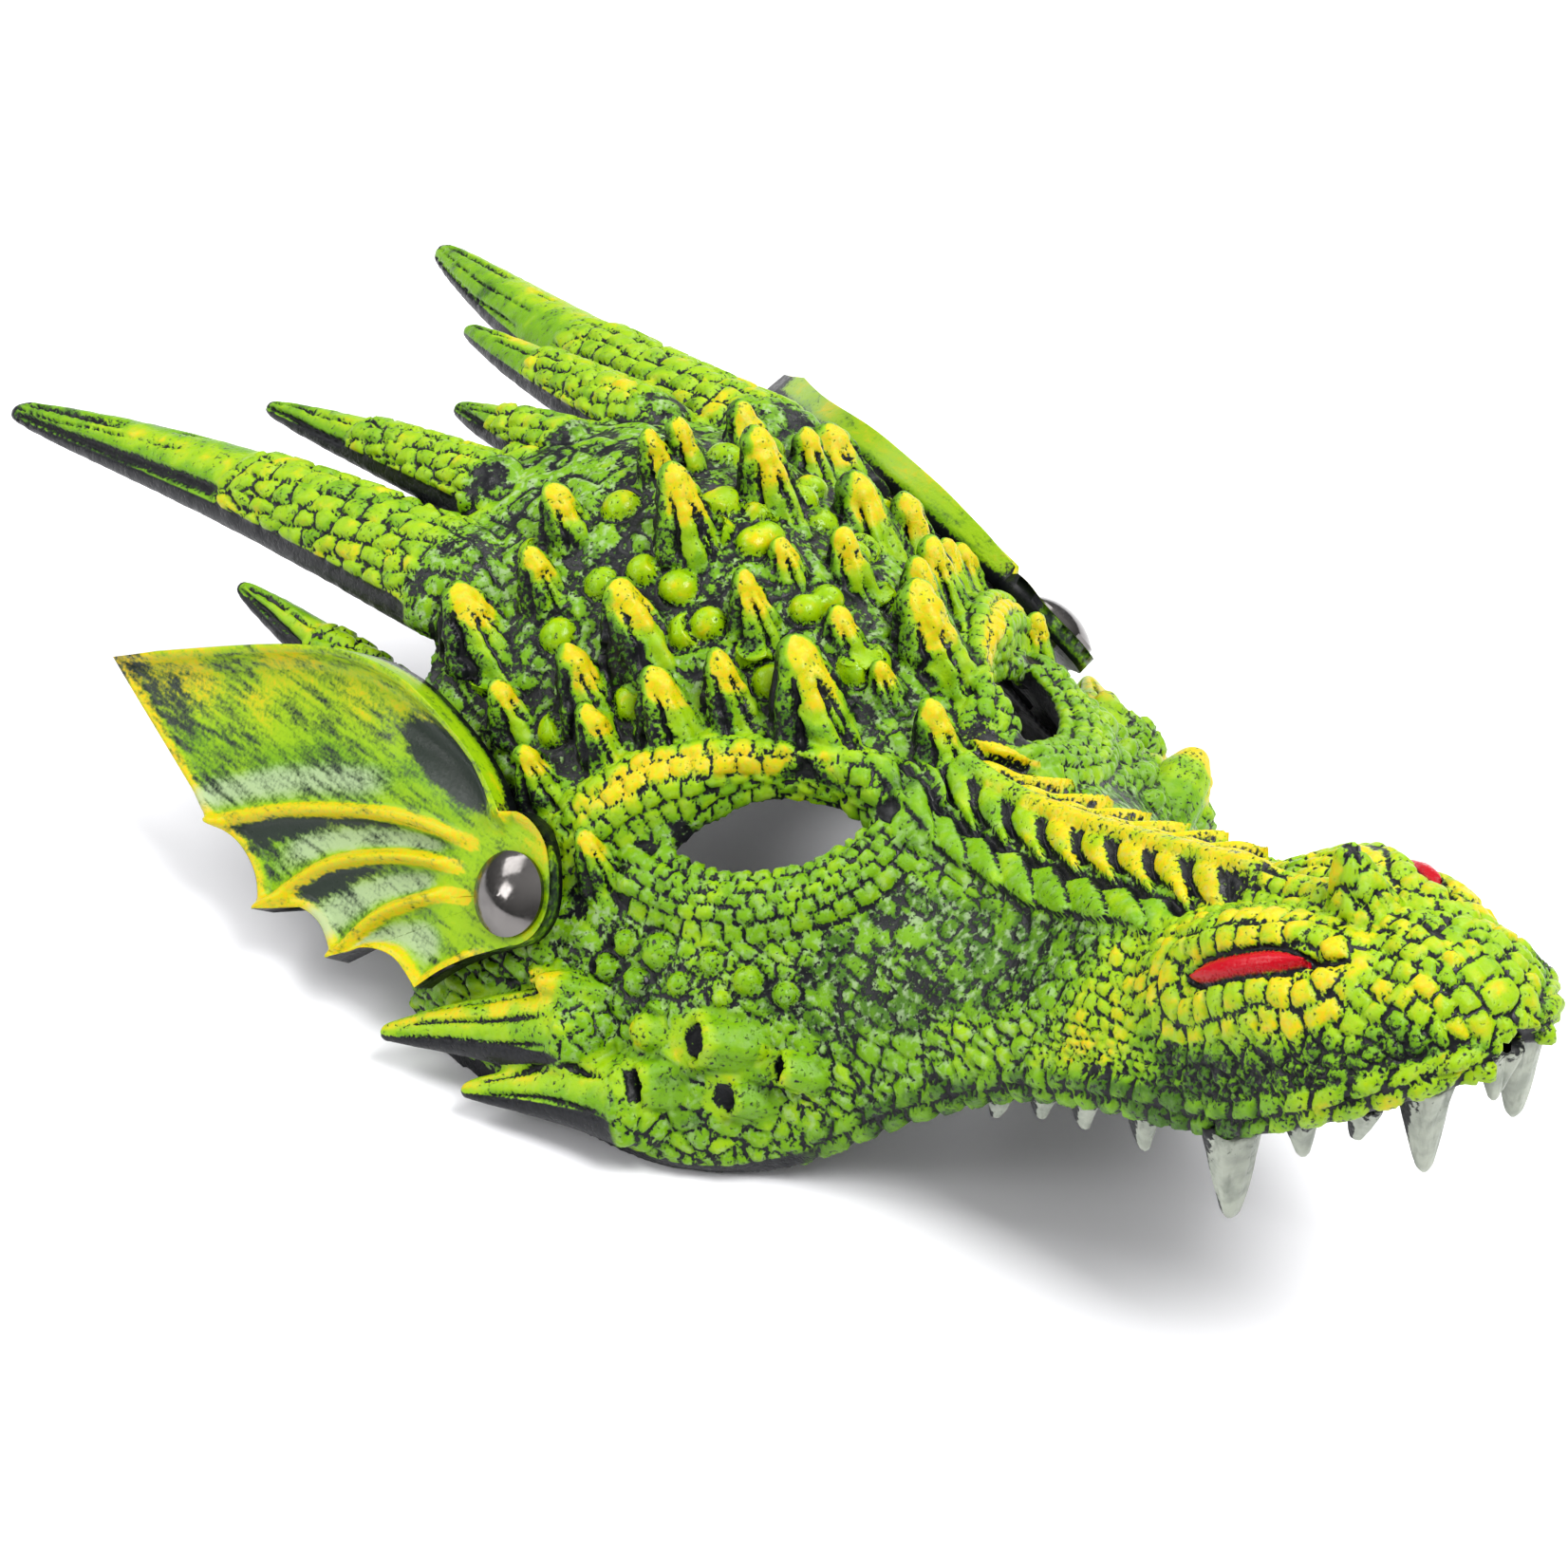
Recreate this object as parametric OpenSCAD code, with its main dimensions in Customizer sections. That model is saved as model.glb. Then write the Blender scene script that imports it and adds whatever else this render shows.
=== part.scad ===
// Moulded foam dragon half mask, lying face up: a hollow face with horns, two riveted ear fins and a strap.
// +Z is up, the snout points to -Y and the horns to +Y. The origin is on the table under the middle.

/* [Face] */
// Widest part of the face shell, at the temples
head_w = 150; // [144:1:156]
// Height of the crown above the table
crown_h = 79; // [76:1:82]
// Wall thickness of the foam moulding
wall = 4; // [3:0.5:5]
// Length of one eye hole, seen from above
eye_len = 37; // [32:1:38]
// Width of one eye hole, seen from above
eye_wide = 14; // [12:1:15]

/* [Horns and spikes] */
// Root radius of the two longest horns
horn_r = 13; // [11:0.5:14]
// Root radius of a forehead spike
spike_r = 6; // [5:0.5:7]
// Length of a full forehead spike
spike_len = 12; // [11:0.5:13]
// Length of the longest fangs
fang_len = 19; // [15:1:22]

/* [Ears] */
// Thickness of the ear fins
ear_t = 3.5; // [3:0.5:4]
// Free space between an ear and the parts on each side of it
ear_gap = 0.3; // [0.3:0.1:0.5]

/* [Rivets] */
// Diameter of the domed rivet cap
cap_d = 15; // [13:0.5:16]
// Height of the domed cap
cap_h = 3.5; // [3:0.25:4]
// Radius of the rivet post
post_r = 2; // [1.75:0.25:2.5]
// Running clearance of the ear's bore around the post
post_gap = 0.05; // [0.04:0.01:0.08]

/* [Strap] */
// Width of the elastic strap
strap_w = 18; // [15:1:20]
// Thickness of the elastic strap
strap_t = 1.2; // [1:0.1:1.5]

/* [Hidden] */
$fn = 48;

foam_green = "yellowgreen";
foam_dark = "olivedrab";
tooth_grey = "lightgray";
steel = "silver";

y_mid = 52.2;        // the eye line lies this far in front of the middle of the mask
n_along = 26;        // grid steps from the snout tip to the back edge
n_across = 22;       // grid steps from one lower edge to the other
root_depth = 60;     // the horns and spikes are cut off this deep under the skin

// The face, from the snout tip back:
// [y from the eye line, half width, top height, lower edge height, power of the cross-section]
half = head_w / 2;
stations = [
    [-125, 6, 81, 75, 2],
    [-119, 15, 86, 71, 2],
    [-108, 23, 88, 63, 2.1],
    [-92, 27, 84, 52, 2.1],
    [-71, 29, 75, 44, 2],
    [-50, 31, 67, 33, 1.9],
    [-32, 38, 61, 19, 1.8],
    [-14, 0.67 * half, 57, 3, 1.7],
    [2, 0.84 * half, 58, 0, 1.65],
    [20, 0.92 * half, 64, 0, 1.55],
    [38, 0.98 * half, crown_h - 7, 0, 1.5],
    [58, half, crown_h - 1, 0, 1.5],
    [80, 0.94 * half, crown_h, 18, 1.55],
    [102, 0.78 * half, crown_h - 5, 34, 1.6],
    [120, 0.56 * half, crown_h - 12, 48, 1.7]];
last = len(stations) - 1;
temple_cut = 3;      // the sides end this many stations before the crown does
snout_thick = 1.4;   // the wall grows by this share towards the snout tip

function spline(a, b, c, d, t) =
    0.5 * (2 * b + (c - a) * t + (2 * a - 5 * b + 4 * c - d) * t * t + (3 * b - a - 3 * c + d) * t * t * t);
function kept(i) = max(0, min(last, i));
function station(s) =
    let (i = min(last - 1, floor(s)))
    spline(stations[kept(i - 1)], stations[i], stations[i + 1], stations[kept(i + 2)], s - i);
function low_edge(st) = max(0, st[3]);
function station_at(y) = lookup(y, [for (i = [0:last]) [stations[i][0], i]]);
function bend(x, p) = sign(x) * pow(abs(x), p);
// A point of the skin: s counts stations, a runs from -90 to 90 degrees across, inset goes into the wall
function skin(s, a, inset = 0) =
    let (st = station(s), deep = inset * (1 + snout_thick * max(0, 1 - s / 4)), w = max(1, st[1] - deep),
         low = low_edge(st), blunt = inset * max(0, 1 - s / 2), high = max(low + 1, st[2] - deep))
    [w * bend(sin(a), 2 / st[4]), st[0] + blunt, low + (high - low) * bend(abs(cos(a)), 2 / st[4])];
function skin_at(y, a) = skin(station_at(y), a);
function s_end(a) = last - temple_cut * pow(sin(a), 2);
function skin_grid(inset) = [for (i = [0:n_along]) for (j = [0:n_across])
    let (a = 90 * (2 * j / n_across - 1)) skin(s_end(a) * i / n_along, a, inset)];
function two(q) = [[q[0], q[1], q[2]], [q[0], q[2], q[3]]];

// The closed solid between an upper and a lower grid of skin points
module between(upper, lower) {
    cols = n_across + 1;
    n = len(upper);
    quads = concat(
        [for (i = [0:n_along - 1]) for (j = [0:n_across - 1])
            let (p = i * cols + j) [p, p + cols, p + cols + 1, p + 1]],
        [for (i = [0:n_along - 1]) for (j = [0:n_across - 1])
            let (p = n + i * cols + j) [p, p + 1, p + cols + 1, p + cols]],
        [for (i = [0:n_along - 1]) let (p = i * cols) [p, p + n, p + n + cols, p + cols]],
        [for (i = [0:n_along - 1]) let (p = i * cols + n_across) [p, p + cols, p + n + cols, p + n]],
        [for (j = [0:n_across - 1]) [j, j + 1, j + 1 + n, j + n]],
        [for (j = [0:n_across - 1]) let (p = n_along * cols + j) [p, p + n, p + n + 1, p + 1]]);
    polyhedron(concat(upper, lower), [for (q = quads) for (t = two(q)) t]);
}
module under_skin() {
    top = skin_grid(0);
    between(top, [for (p = top) p - [0, 0, root_depth]]);
}
module spike(from, to, r_root, r_tip) {
    v = to - from;
    translate(from) rotate([0, acos(v[2] / norm(v)), atan2(v[1], v[0])])
        cylinder(h = norm(v), r1 = r_root, r2 = r_tip);
}
module both_sides() {
    children();
    mirror([1, 0, 0]) children();
}
module on_mask() translate([0, -y_mid, 0]) children();

// The rivet and the ear share one frame: Z out of the temple, X up and Y back
rivet_at = [-59, 42, 32.5];
rivet_turn = [0, -56, 7];
module at_rivet() translate(rivet_at) rotate(rivet_turn) children();
seat_r = 9;          // radius of the flat seat around the rivet
seat_h = 2.5;        // the seat's height over the skin
seat_in = 8;         // the inner boss reaches this deep under the skin
ear_low = seat_h + ear_gap;
cap_low = ear_low + ear_t + ear_gap;
washer_r = 7;
washer_t = 1;
strap_low = -seat_in - washer_t - strap_t;
flange_r = 6;
flange_t = 1;

module eye_cut() {
    r = (pow(eye_len / 2, 2) + pow(eye_wide / 2, 2)) / eye_wide;
    translate([-29, 13, 0]) rotate(134) linear_extrude(100) intersection() {
        translate([0, r - eye_wide / 2]) circle(r, $fn = 96);
        translate([0, eye_wide / 2 - r]) circle(r, $fn = 96);
    }
}
module mask_shell() color(foam_green) on_mask() difference() {
    union() {
        between(skin_grid(0), skin_grid(wall));
        both_sides() at_rivet() translate([0, 0, -seat_in]) cylinder(h = seat_in + seat_h, r = seat_r);
    }
    both_sides() eye_cut();
    both_sides() at_rivet() translate([0, 0, -20]) cylinder(h = 40, r = post_r + post_gap);
}

// [root, tip, root radius, tip radius] on the right side
side_horns = [
    [[-35, 95, 60], [-53, 229, 41], horn_r, 1.8],
    [[-18, 108, 66], [-24, 177, 55], 0.6 * horn_r, 1.5],
    [[-52, 84, 41], [-56, 139, 46], 0.55 * horn_r, 1.5]];
centre_horn = [[0, 110, 67], [0, 146, 60], 0.5 * horn_r, 1.5];
module horn(h) {
    mid = (h[0] + h[1]) / 2;
    spike(h[0], mid, h[2], 0.68 * h[2]);
    spike(mid, h[1], 0.68 * h[2], h[3]);
}
module horns() color(foam_dark) on_mask() difference() {
    union() {
        both_sides() for (h = side_horns) horn(h);
        horn(centre_horn);
    }
    under_skin();
}

cheek_list = [
    [[-65, 26, 16], [-85, 54, 7], 8.5, 1.8],
    [[-65, 12, 10], [-82, 33, 6.5], 8, 1.8]];
module cheek_spikes() color(foam_dark) on_mask() difference() {
    both_sides() for (h = cheek_list) spike(h[0], h[1], h[2], h[3]);
    under_skin();
}

// [y, degrees across, width, height in mm] of the forehead spikes on the right side, then on the middle line
spike_list = [
    [21, 16, 1.35, 14.5], [33, 24, 0.85, 9.5], [39, 31, 1, 9.5], [46, 38, 0.85, 7], [52, 46, 0.8, 6],
    [40, 13, 0.85, 9.5], [54, 26, 1.2, 10], [54, 36, 0.95, 10], [61, 12, 1.05, 14], [75, 31, 0.85, 7.5],
    [81, 23, 0.95, 8.5], [65, 44, 0.9, 5.5], [80, 41, 1.3, 7.5], [77, 5, 0.75, 9]];
middle_spikes = [[44, 0, 0.75, 6], [28, 0, 0.8, 6], [17, 0, 0.7, 5.5], [3, 0, 0.9, 9]];
lean = 4;            // the spikes' tips lean this far back
sunk = 5;            // spikes and ridges start this deep under the skin
module forehead_spike(y, a, size, high) {
    foot = skin_at(y, a);
    hull() spike(foot - [0, size, sunk], foot + [0, lean * size, high * spike_len / 12], size * spike_r, 1.3, $fn = 12);
}
module ridge(from, to, r) hull() {
    translate(from) sphere(r, $fn = 24);
    translate(to) sphere(r, $fn = 24);
}
brow_r = 5;
module forehead_spikes() color(foam_green) on_mask() difference() {
    union() {
        both_sides() {
            for (s = spike_list) forehead_spike(s[0], -s[1], s[2], s[3]);
            ridge([-12, 6, 54], [-27, 26, 56], brow_r);
            ridge([-27, 26, 56], [-46, 41, 45], brow_r);
        }
        for (s = middle_spikes) forehead_spike(s[0], s[1], s[2], s[3]);
    }
    under_skin();
    both_sides() eye_cut();
}

module snout_forms() color(foam_green) on_mask() difference() {
    union() {
        spike([0, -96, 82], [0, -89, 94], 6, 1.2);
        both_sides() ridge([-13, -78, 70], [-12, -99, 78], 8);
    }
    under_skin();
}

// [y on the lip, length over fang_len, root radius] on the right side
teeth_list = [
    [-46, 0.3, 2.2], [-55, 0.35, 2.6], [-64, 0.4, 2.8], [-76, 0.5, 3],
    [-92, 1, 5], [-103, 0.4, 3], [-111, 0.4, 2.8], [-119, 0.95, 4.5], [-124.5, 0.5, 2.5]];
tooth_inset = 2.5;
module teeth() color(tooth_grey) on_mask() both_sides() for (t = teeth_list) {
    root = skin(station_at(t[0]), -90, tooth_inset) + [0, 0, 1];
    spike(root, root - [0, 0.05, 0.99] * t[1] * fang_len, t[2], 0.6);
}

// The fin's outline, from its front edge over the top to the tip and back along the scallops
ear_outline = [
    [12, 8], [20, 24], [23, 39], [22, 54], [15, 71], [-1, 104], [-12, 85], [-18, 69], [-21, 60], [-27, 51],
    [-24, 41], [-27, 31], [-22, 21], [-23, 11], [-13, 4]];
rib_ends = [[-18, 69], [-27, 51], [-27, 31]];
rib_w = 3;
rib_h = 1.2;
module rib(end) {
    length = norm(end) - cap_d / 2 - 3;
    rotate(atan2(end[1], end[0])) translate([cap_d / 2 + 1.5, -rib_w / 2, 0]) cube([length, rib_w, rib_h]);
}
module ear() at_rivet() difference() {
    union() {
        translate([0, 0, ear_low]) linear_extrude(ear_t) union() {
            polygon(ear_outline);
            circle(seat_r);
        }
        translate([0, 0, ear_low + ear_t]) for (e = rib_ends) rib(e);
    }
    cylinder(h = 30, r = post_r + post_gap, center = true);
}
module ear_right() color(foam_green) on_mask() ear();
module ear_left() color(foam_green) on_mask() mirror([1, 0, 0]) ear();

// The cap is a dome over a short rim; the post has a flange inside the mask
module cap() at_rivet() {
    rim = 0.8;
    r_dome = (pow(cap_d / 2, 2) + pow(cap_h - rim, 2)) / (2 * (cap_h - rim));
    translate([0, 0, cap_low]) {
        cylinder(h = rim, r = cap_d / 2);
        intersection() {
            translate([0, 0, cap_h - r_dome]) sphere(r_dome, $fn = 96);
            translate([0, 0, rim]) cylinder(h = cap_h, r = cap_d / 2);
        }
    }
}
module post() at_rivet() {
    translate([0, 0, strap_low - flange_t]) cylinder(h = flange_t, r = flange_r);
    translate([0, 0, strap_low]) cylinder(h = cap_low - strap_low, r = post_r);
}
module washer() at_rivet() translate([0, 0, -seat_in - washer_t]) difference() {
    cylinder(h = washer_t, r = washer_r);
    cylinder(h = 3 * washer_t, r = post_r + post_gap, center = true);
}
module rivet_cap_right() color(steel) on_mask() cap();
module rivet_cap_left() color(steel) on_mask() mirror([1, 0, 0]) cap();
module rivet_post_right() color(steel) on_mask() post();
module rivet_post_left() color(steel) on_mask() mirror([1, 0, 0]) post();
module washer_right() color("dimgray") on_mask() washer();
module washer_left() color("dimgray") on_mask() mirror([1, 0, 0]) washer();

// The strap leaves each rivet downwards, turns on the table and lies behind the eyes.
// Each row is a point of its centre line and the direction across the band, on the right side.
strap_mid = strap_low + strap_t / 2;
rivet_axes = [for (v = [[cos(rivet_turn[1]), 0, -sin(rivet_turn[1])], [0, 1, 0], [sin(rivet_turn[1]), 0, cos(rivet_turn[1])]])
    [v[0] * cos(rivet_turn[2]) - v[1] * sin(rivet_turn[2]), v[0] * sin(rivet_turn[2]) + v[1] * cos(rivet_turn[2]), v[2]]];
function from_rivet(x) = rivet_at + x * rivet_axes[0] + strap_mid * rivet_axes[2];
strap_rest = 0.4;    // the strap's lowest face over the table
strap_z = strap_rest + strap_t / 2;
strap_side = [
    [from_rivet(8), rivet_axes[1]],
    [from_rivet(-8), rivet_axes[1]],
    [from_rivet(-15), [-0.05, 1, 0]],
    [[-61, 50, 7], [-0.2, 1, 0]],
    [[-57, 54, 2.5], [-0.4, 0.9, 0]],
    [[-48, 62, strap_z], [-0.6, 0.8, 0]],
    [[-34, 74, strap_z], [-0.6, 0.8, 0]],
    [[-20, 83, strap_z], [-0.35, 0.94, 0]],
    [[-8, 86, strap_z], [-0.1, 1, 0]]];
strap_rows = concat(strap_side,
    [for (i = [len(strap_side) - 1:-1:0]) let (r = strap_side[i])
        [[-r[0][0], r[0][1], r[0][2]], [-r[1][0], r[1][1], r[1][2]]]]);
function unit(v) = v / norm(v);
module elastic_strap() color("black") on_mask() difference() {
    n = len(strap_rows);
    sections = [for (i = [0:n - 1]) let (
        ahead = strap_rows[min(n - 1, i + 1)][0] - strap_rows[max(0, i - 1)][0],
        across = unit(strap_rows[i][1]),
        face = unit(cross(ahead, across)) * strap_t / 2,
        c = strap_rows[i][0],
        w = across * strap_w / 2)
        each [c - w - face, c + w - face, c + w + face, c - w + face]];
    sides = [for (i = [0:n - 2]) for (k = [0:3])
        let (p = 4 * i) [p + k, p + 4 + k, p + 4 + (k + 1) % 4, p + (k + 1) % 4]];
    ends = [[0, 1, 2, 3], [for (k = [3:-1:0]) 4 * (n - 1) + k]];
    polyhedron(sections, [for (q = concat(sides, ends)) for (t = two(q)) t]);
    both_sides() at_rivet() cylinder(h = 60, r = post_r + post_gap, center = true);
}

mask_shell();
horns();
cheek_spikes();
forehead_spikes();
snout_forms();
teeth();
ear_right();
ear_left();
rivet_cap_right();
rivet_cap_left();
rivet_post_right();
rivet_post_left();
washer_right();
washer_left();
elastic_strap();
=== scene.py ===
# Dragon half mask: sculpted foam face, ear fins, teeth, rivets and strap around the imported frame.
import math

import bpy
import numpy as np
from mathutils import Matrix, Vector


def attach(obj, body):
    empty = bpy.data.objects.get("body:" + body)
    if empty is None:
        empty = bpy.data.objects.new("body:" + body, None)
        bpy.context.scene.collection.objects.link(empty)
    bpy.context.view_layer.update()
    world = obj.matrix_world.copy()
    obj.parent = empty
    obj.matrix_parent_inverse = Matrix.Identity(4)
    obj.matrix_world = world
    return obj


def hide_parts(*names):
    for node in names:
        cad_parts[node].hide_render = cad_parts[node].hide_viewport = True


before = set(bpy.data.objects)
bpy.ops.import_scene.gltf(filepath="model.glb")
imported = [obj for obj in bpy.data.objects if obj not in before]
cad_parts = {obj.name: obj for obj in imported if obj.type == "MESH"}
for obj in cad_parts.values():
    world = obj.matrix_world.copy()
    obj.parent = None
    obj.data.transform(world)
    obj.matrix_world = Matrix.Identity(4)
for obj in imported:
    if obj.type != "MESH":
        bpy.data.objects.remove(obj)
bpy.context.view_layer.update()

# ---------------- frame and units
# Shapes are worked out in millimetres with y = 0 on the eye line, then moved into the frame in metres.
MM = 0.001
Y_MID = 52.2  # the frame's origin, from the eye line
WALL = 4.0
VOXEL = 0.6


def to_frame(p):
    """Millimetres from the eye line to metres in the frame."""
    p = np.asarray(p, float).copy()
    p[..., 1] -= Y_MID
    return p * MM


def smooth(x, lo, hi):
    """0 up to lo, rising smoothly to 1 at hi."""
    t = np.clip((x - lo) / (hi - lo), 0.0, 1.0)
    return t * t * (3 - 2 * t)


def fall(x, lo, hi):
    """1 up to lo, falling smoothly to 0 at hi."""
    return 1 - smooth(x, lo, hi)


def bump(d, r):
    """1 at d = 0, falling smoothly to 0 at d = r."""
    t = np.clip(1 - (np.asarray(d) / r) ** 2, 0, 1)
    return t * t


def round_top(d, r):
    """Height of a round dome, 1 at d = 0 and 0 at d = r."""
    return np.sqrt(np.clip(1 - (d / r) ** 2, 0, 1))


# ---------------- the face's skin
# [y, half width, top height, lower edge height, power of the cross-section], snout tip first
HALF, CROWN = 75.0, 79.0
STATIONS = np.array([
    [-125, 6, 81, 75, 2],
    [-119, 15, 86, 71, 2],
    [-108, 23, 88, 63, 2.1],
    [-92, 27, 84, 52, 2.1],
    [-71, 29, 75, 44, 2],
    [-50, 31, 67, 33, 1.9],
    [-32, 38, 61, 19, 1.8],
    [-14, 0.67 * HALF, 57, 3, 1.7],
    [2, 0.84 * HALF, 58, 0, 1.65],
    [20, 0.92 * HALF, 64, 0, 1.55],
    [38, 0.98 * HALF, CROWN - 7, 0, 1.5],
    [58, HALF, CROWN - 1, 0, 1.5],
    [80, 0.94 * HALF, CROWN, 18, 1.55],
    [102, 0.78 * HALF, CROWN - 5, 34, 1.6],
    [120, 0.56 * HALF, CROWN - 12, 48, 1.7]], float)
LAST = len(STATIONS) - 1
TEMPLE_CUT = 3.0
SNOUT_THICK = 1.4


def spline(a, b, c, d, t):
    """Point at t on the smooth curve from b to c."""
    return 0.5 * (2 * b + (c - a) * t + (2 * a - 5 * b + 4 * c - d) * t ** 2
                  + (3 * b - a - 3 * c + d) * t ** 3)


def station(s):
    """The cross-section at s, between those of the list."""
    s = np.asarray(s, float)
    i = np.clip(np.floor(s).astype(int), 0, LAST - 1)
    t = (s - i)[..., None]
    a, b = STATIONS[np.maximum(i - 1, 0)], STATIONS[i]
    c, d = STATIONS[i + 1], STATIONS[np.minimum(i + 2, LAST)]
    return spline(a, b, c, d, t)


def station_at(y):
    return np.interp(y, STATIONS[:, 0], np.arange(LAST + 1))


def skin(s, a, inset=0.0):
    """Skin point at station s and a degrees across, inset into the wall."""
    s, a = np.broadcast_arrays(np.asarray(s, float), np.radians(np.asarray(a, float)))
    st = station(s)
    deep = inset * (1 + SNOUT_THICK * np.maximum(0, 1 - s / 4))
    w = np.maximum(1, st[..., 1] - deep)
    low = np.maximum(0, st[..., 3])
    high = np.maximum(low + 1, st[..., 2] - deep)
    blunt = inset * np.maximum(0, 1 - s / 2)
    power = 2 / st[..., 4]
    x = w * np.sign(np.sin(a)) * np.abs(np.sin(a)) ** power
    z = low + (high - low) * np.abs(np.cos(a)) ** power
    return np.stack([x, st[..., 0] + blunt, z], -1)


def skin_z(x, y):
    """Height of the skin over the point x, y."""
    st = station(station_at(y))
    u = np.clip(np.abs(x) / st[..., 1], 0, 1)
    low = np.maximum(0, st[..., 3])
    return low + (st[..., 2] - low) * (1 - u ** st[..., 4]) ** (1 / st[..., 4])


def across_of(p):
    """Degrees across of points on or over the skin, always positive."""
    st = station(station_at(p[:, 1]))
    u = np.clip(np.abs(p[:, 0]) / st[:, 1], 0, 1)
    return np.degrees(np.arcsin(u ** (st[:, 4] / 2)))


def on_skin(points):
    p = np.array(points, float)
    return np.column_stack([p[:, 0], p[:, 1], skin_z(p[:, 0], p[:, 1])])


def skin_point(x, y):
    return on_skin([(x, y)])[0]


def unit(v):
    v = np.asarray(v, float)
    return v / np.linalg.norm(v, axis=-1, keepdims=True)


def lengths(v):
    return np.linalg.norm(v, axis=1)


def path_length(path):
    return lengths(np.diff(path, axis=0)).sum()


def outward(p):
    """Directions out of the face at points on it."""
    return unit(np.column_stack([p[:, 0], np.zeros(len(p)), np.maximum(p[:, 2], 0) + 12]))


# ---------------- noise and scale patterns
def hash01(*ids):
    """A fixed random number, 0 to 1, for each set of whole numbers."""
    h = np.zeros(np.shape(ids[0]), np.uint32)
    for k, v in enumerate(ids):
        prime = (73856093, 19349663, 83492791, 2654435761)[k % 4]
        h ^= (np.asarray(v).astype(np.int64) * prime).astype(np.uint32)
        h = (h ^ (h >> 15)) * np.uint32(2246822519)
        h ^= h >> 13
    h = (h * np.uint32(3266489917)) ^ (h >> 16)
    return (h & 0xFFFFFF).astype(float) / 0xFFFFFF


def lot(*ids):
    """One such number for one set."""
    return hash01(*(np.array([k]) for k in ids))[0]


def cells(coords, jitter, seed):
    """Cell pattern: distance to the nearest and the second nearest seed, and the nearest one's number."""
    base = np.floor(coords).astype(np.int64)
    n, dim = coords.shape
    f1, f2, tag = np.full(n, 9.0), np.full(n, 9.0), np.zeros(n)
    for off in np.ndindex(*(3,) * dim):
        cell = base + (np.array(off) - 1)
        ids = [cell[:, k] for k in range(dim)]
        d2 = np.zeros(n)
        for k in range(dim):
            where = cell[:, k] + 0.5 + jitter * (hash01(*ids, np.full(n, seed + k + 1)) - 0.5)
            d2 += (coords[:, k] - where) ** 2
        d = np.sqrt(d2)
        closer = d < f1
        f2 = np.where(closer, f1, np.minimum(f2, d))
        tag = np.where(closer, hash01(*ids, np.full(n, seed + 77)), tag)
        f1 = np.where(closer, d, f1)
    return f1, f2, tag


def noise3(p, scale, seed=0):
    """Smooth value noise, 0 to 1."""
    q = p / scale
    b = np.floor(q).astype(np.int64)
    t = q - b
    t = t * t * (3 - 2 * t)
    total = np.zeros(len(p))
    for off in np.ndindex(2, 2, 2):
        w = np.ones(len(p))
        for k in range(3):
            w *= t[:, k] if off[k] else 1 - t[:, k]
        total += w * hash01(b[:, 0] + off[0], b[:, 1] + off[1], b[:, 2] + off[2], np.full(len(p), seed))
    return total


def nearest(p, path):
    """Distance to a path, the length run along it, the gap to it and the path's direction there."""
    path = np.asarray(path, float)
    best, run = np.full(len(p), 1e9), np.zeros(len(p))
    gaps, ways = np.zeros((len(p), 3)), np.zeros((len(p), 3))
    start = 0.0
    for a, b in zip(path[:-1], path[1:]):
        length = np.linalg.norm(b - a)
        t = np.clip(((p - a) @ (b - a)) / length ** 2, 0, 1)
        gap = p - (a + t[:, None] * (b - a))
        d = lengths(gap)
        new = d < best
        best, run = np.where(new, d, best), np.where(new, start + t * length, run)
        gaps[new], ways[new] = gap[new], (b - a) / length
        start += length
    return best, run, gaps, ways


def near_path(p, path):
    """Distance to a path, the length run along it and the signed side distance seen from above."""
    d, run, gap, way = nearest(p, path)
    return d, run, np.sign(way[:, 0] * gap[:, 1] - way[:, 1] * gap[:, 0]) * d


def round_path(p, path, radius=6.0):
    """Distance to a path under a raised roll, the run along it and the arc across it from its crest."""
    d, run, gap, way = nearest(p, path)
    out = outward(p)
    across = unit(np.cross(out, way))
    return d, run, radius * np.arctan2(np.sum(gap * across, axis=1), np.sum(gap * out, axis=1) + 0.5)


def curve(points, n=40):
    """A smooth path through the points."""
    p = np.asarray(points, float)
    out = []
    for i in range(len(p) - 1):
        a, b, c, d = p[max(i - 1, 0)], p[i], p[i + 1], p[min(i + 2, len(p) - 1)]
        for t in np.linspace(0, 1, max(2, n // (len(p) - 1)), endpoint=False):
            out.append(spline(a, b, c, d, t))
    out.append(p[-1])
    return np.array(out)


# ---------------- mesh helpers
def new_object(name, verts, faces):
    """A mesh object from points in millimetres from the eye line."""
    me = bpy.data.meshes.new(name)
    me.from_pydata(to_frame(verts).tolist(), [], [tuple(int(i) for i in f) for f in faces])
    me.update()
    me.polygons.foreach_set("use_smooth", [True] * len(me.polygons))
    obj = bpy.data.objects.new(name, me)
    bpy.context.scene.collection.objects.link(obj)
    return obj


def grid_solid(upper, lower):
    """Closed solid between two grids of points."""
    n, m = upper.shape[:2]
    idx = np.arange(n * m).reshape(n, m)
    low = idx + n * m
    a, b, c, d = idx[:-1, :-1], idx[1:, :-1], idx[1:, 1:], idx[:-1, 1:]
    top = np.stack([a, b, c, d], -1).reshape(-1, 4)
    bottom = np.stack([a, d, c, b], -1).reshape(-1, 4) + n * m
    sides = ((idx[:, 0], low[:, 0]), (idx[-1], low[-1]), (idx[::-1, -1], low[::-1, -1]),
             (idx[0, ::-1], low[0, ::-1]))
    rim = [np.stack([line[:-1], under[:-1], under[1:], line[1:]], -1) for line, under in sides]
    verts = np.concatenate([upper.reshape(-1, 3), lower.reshape(-1, 3)])
    return verts, np.concatenate([top, bottom] + rim)


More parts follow.
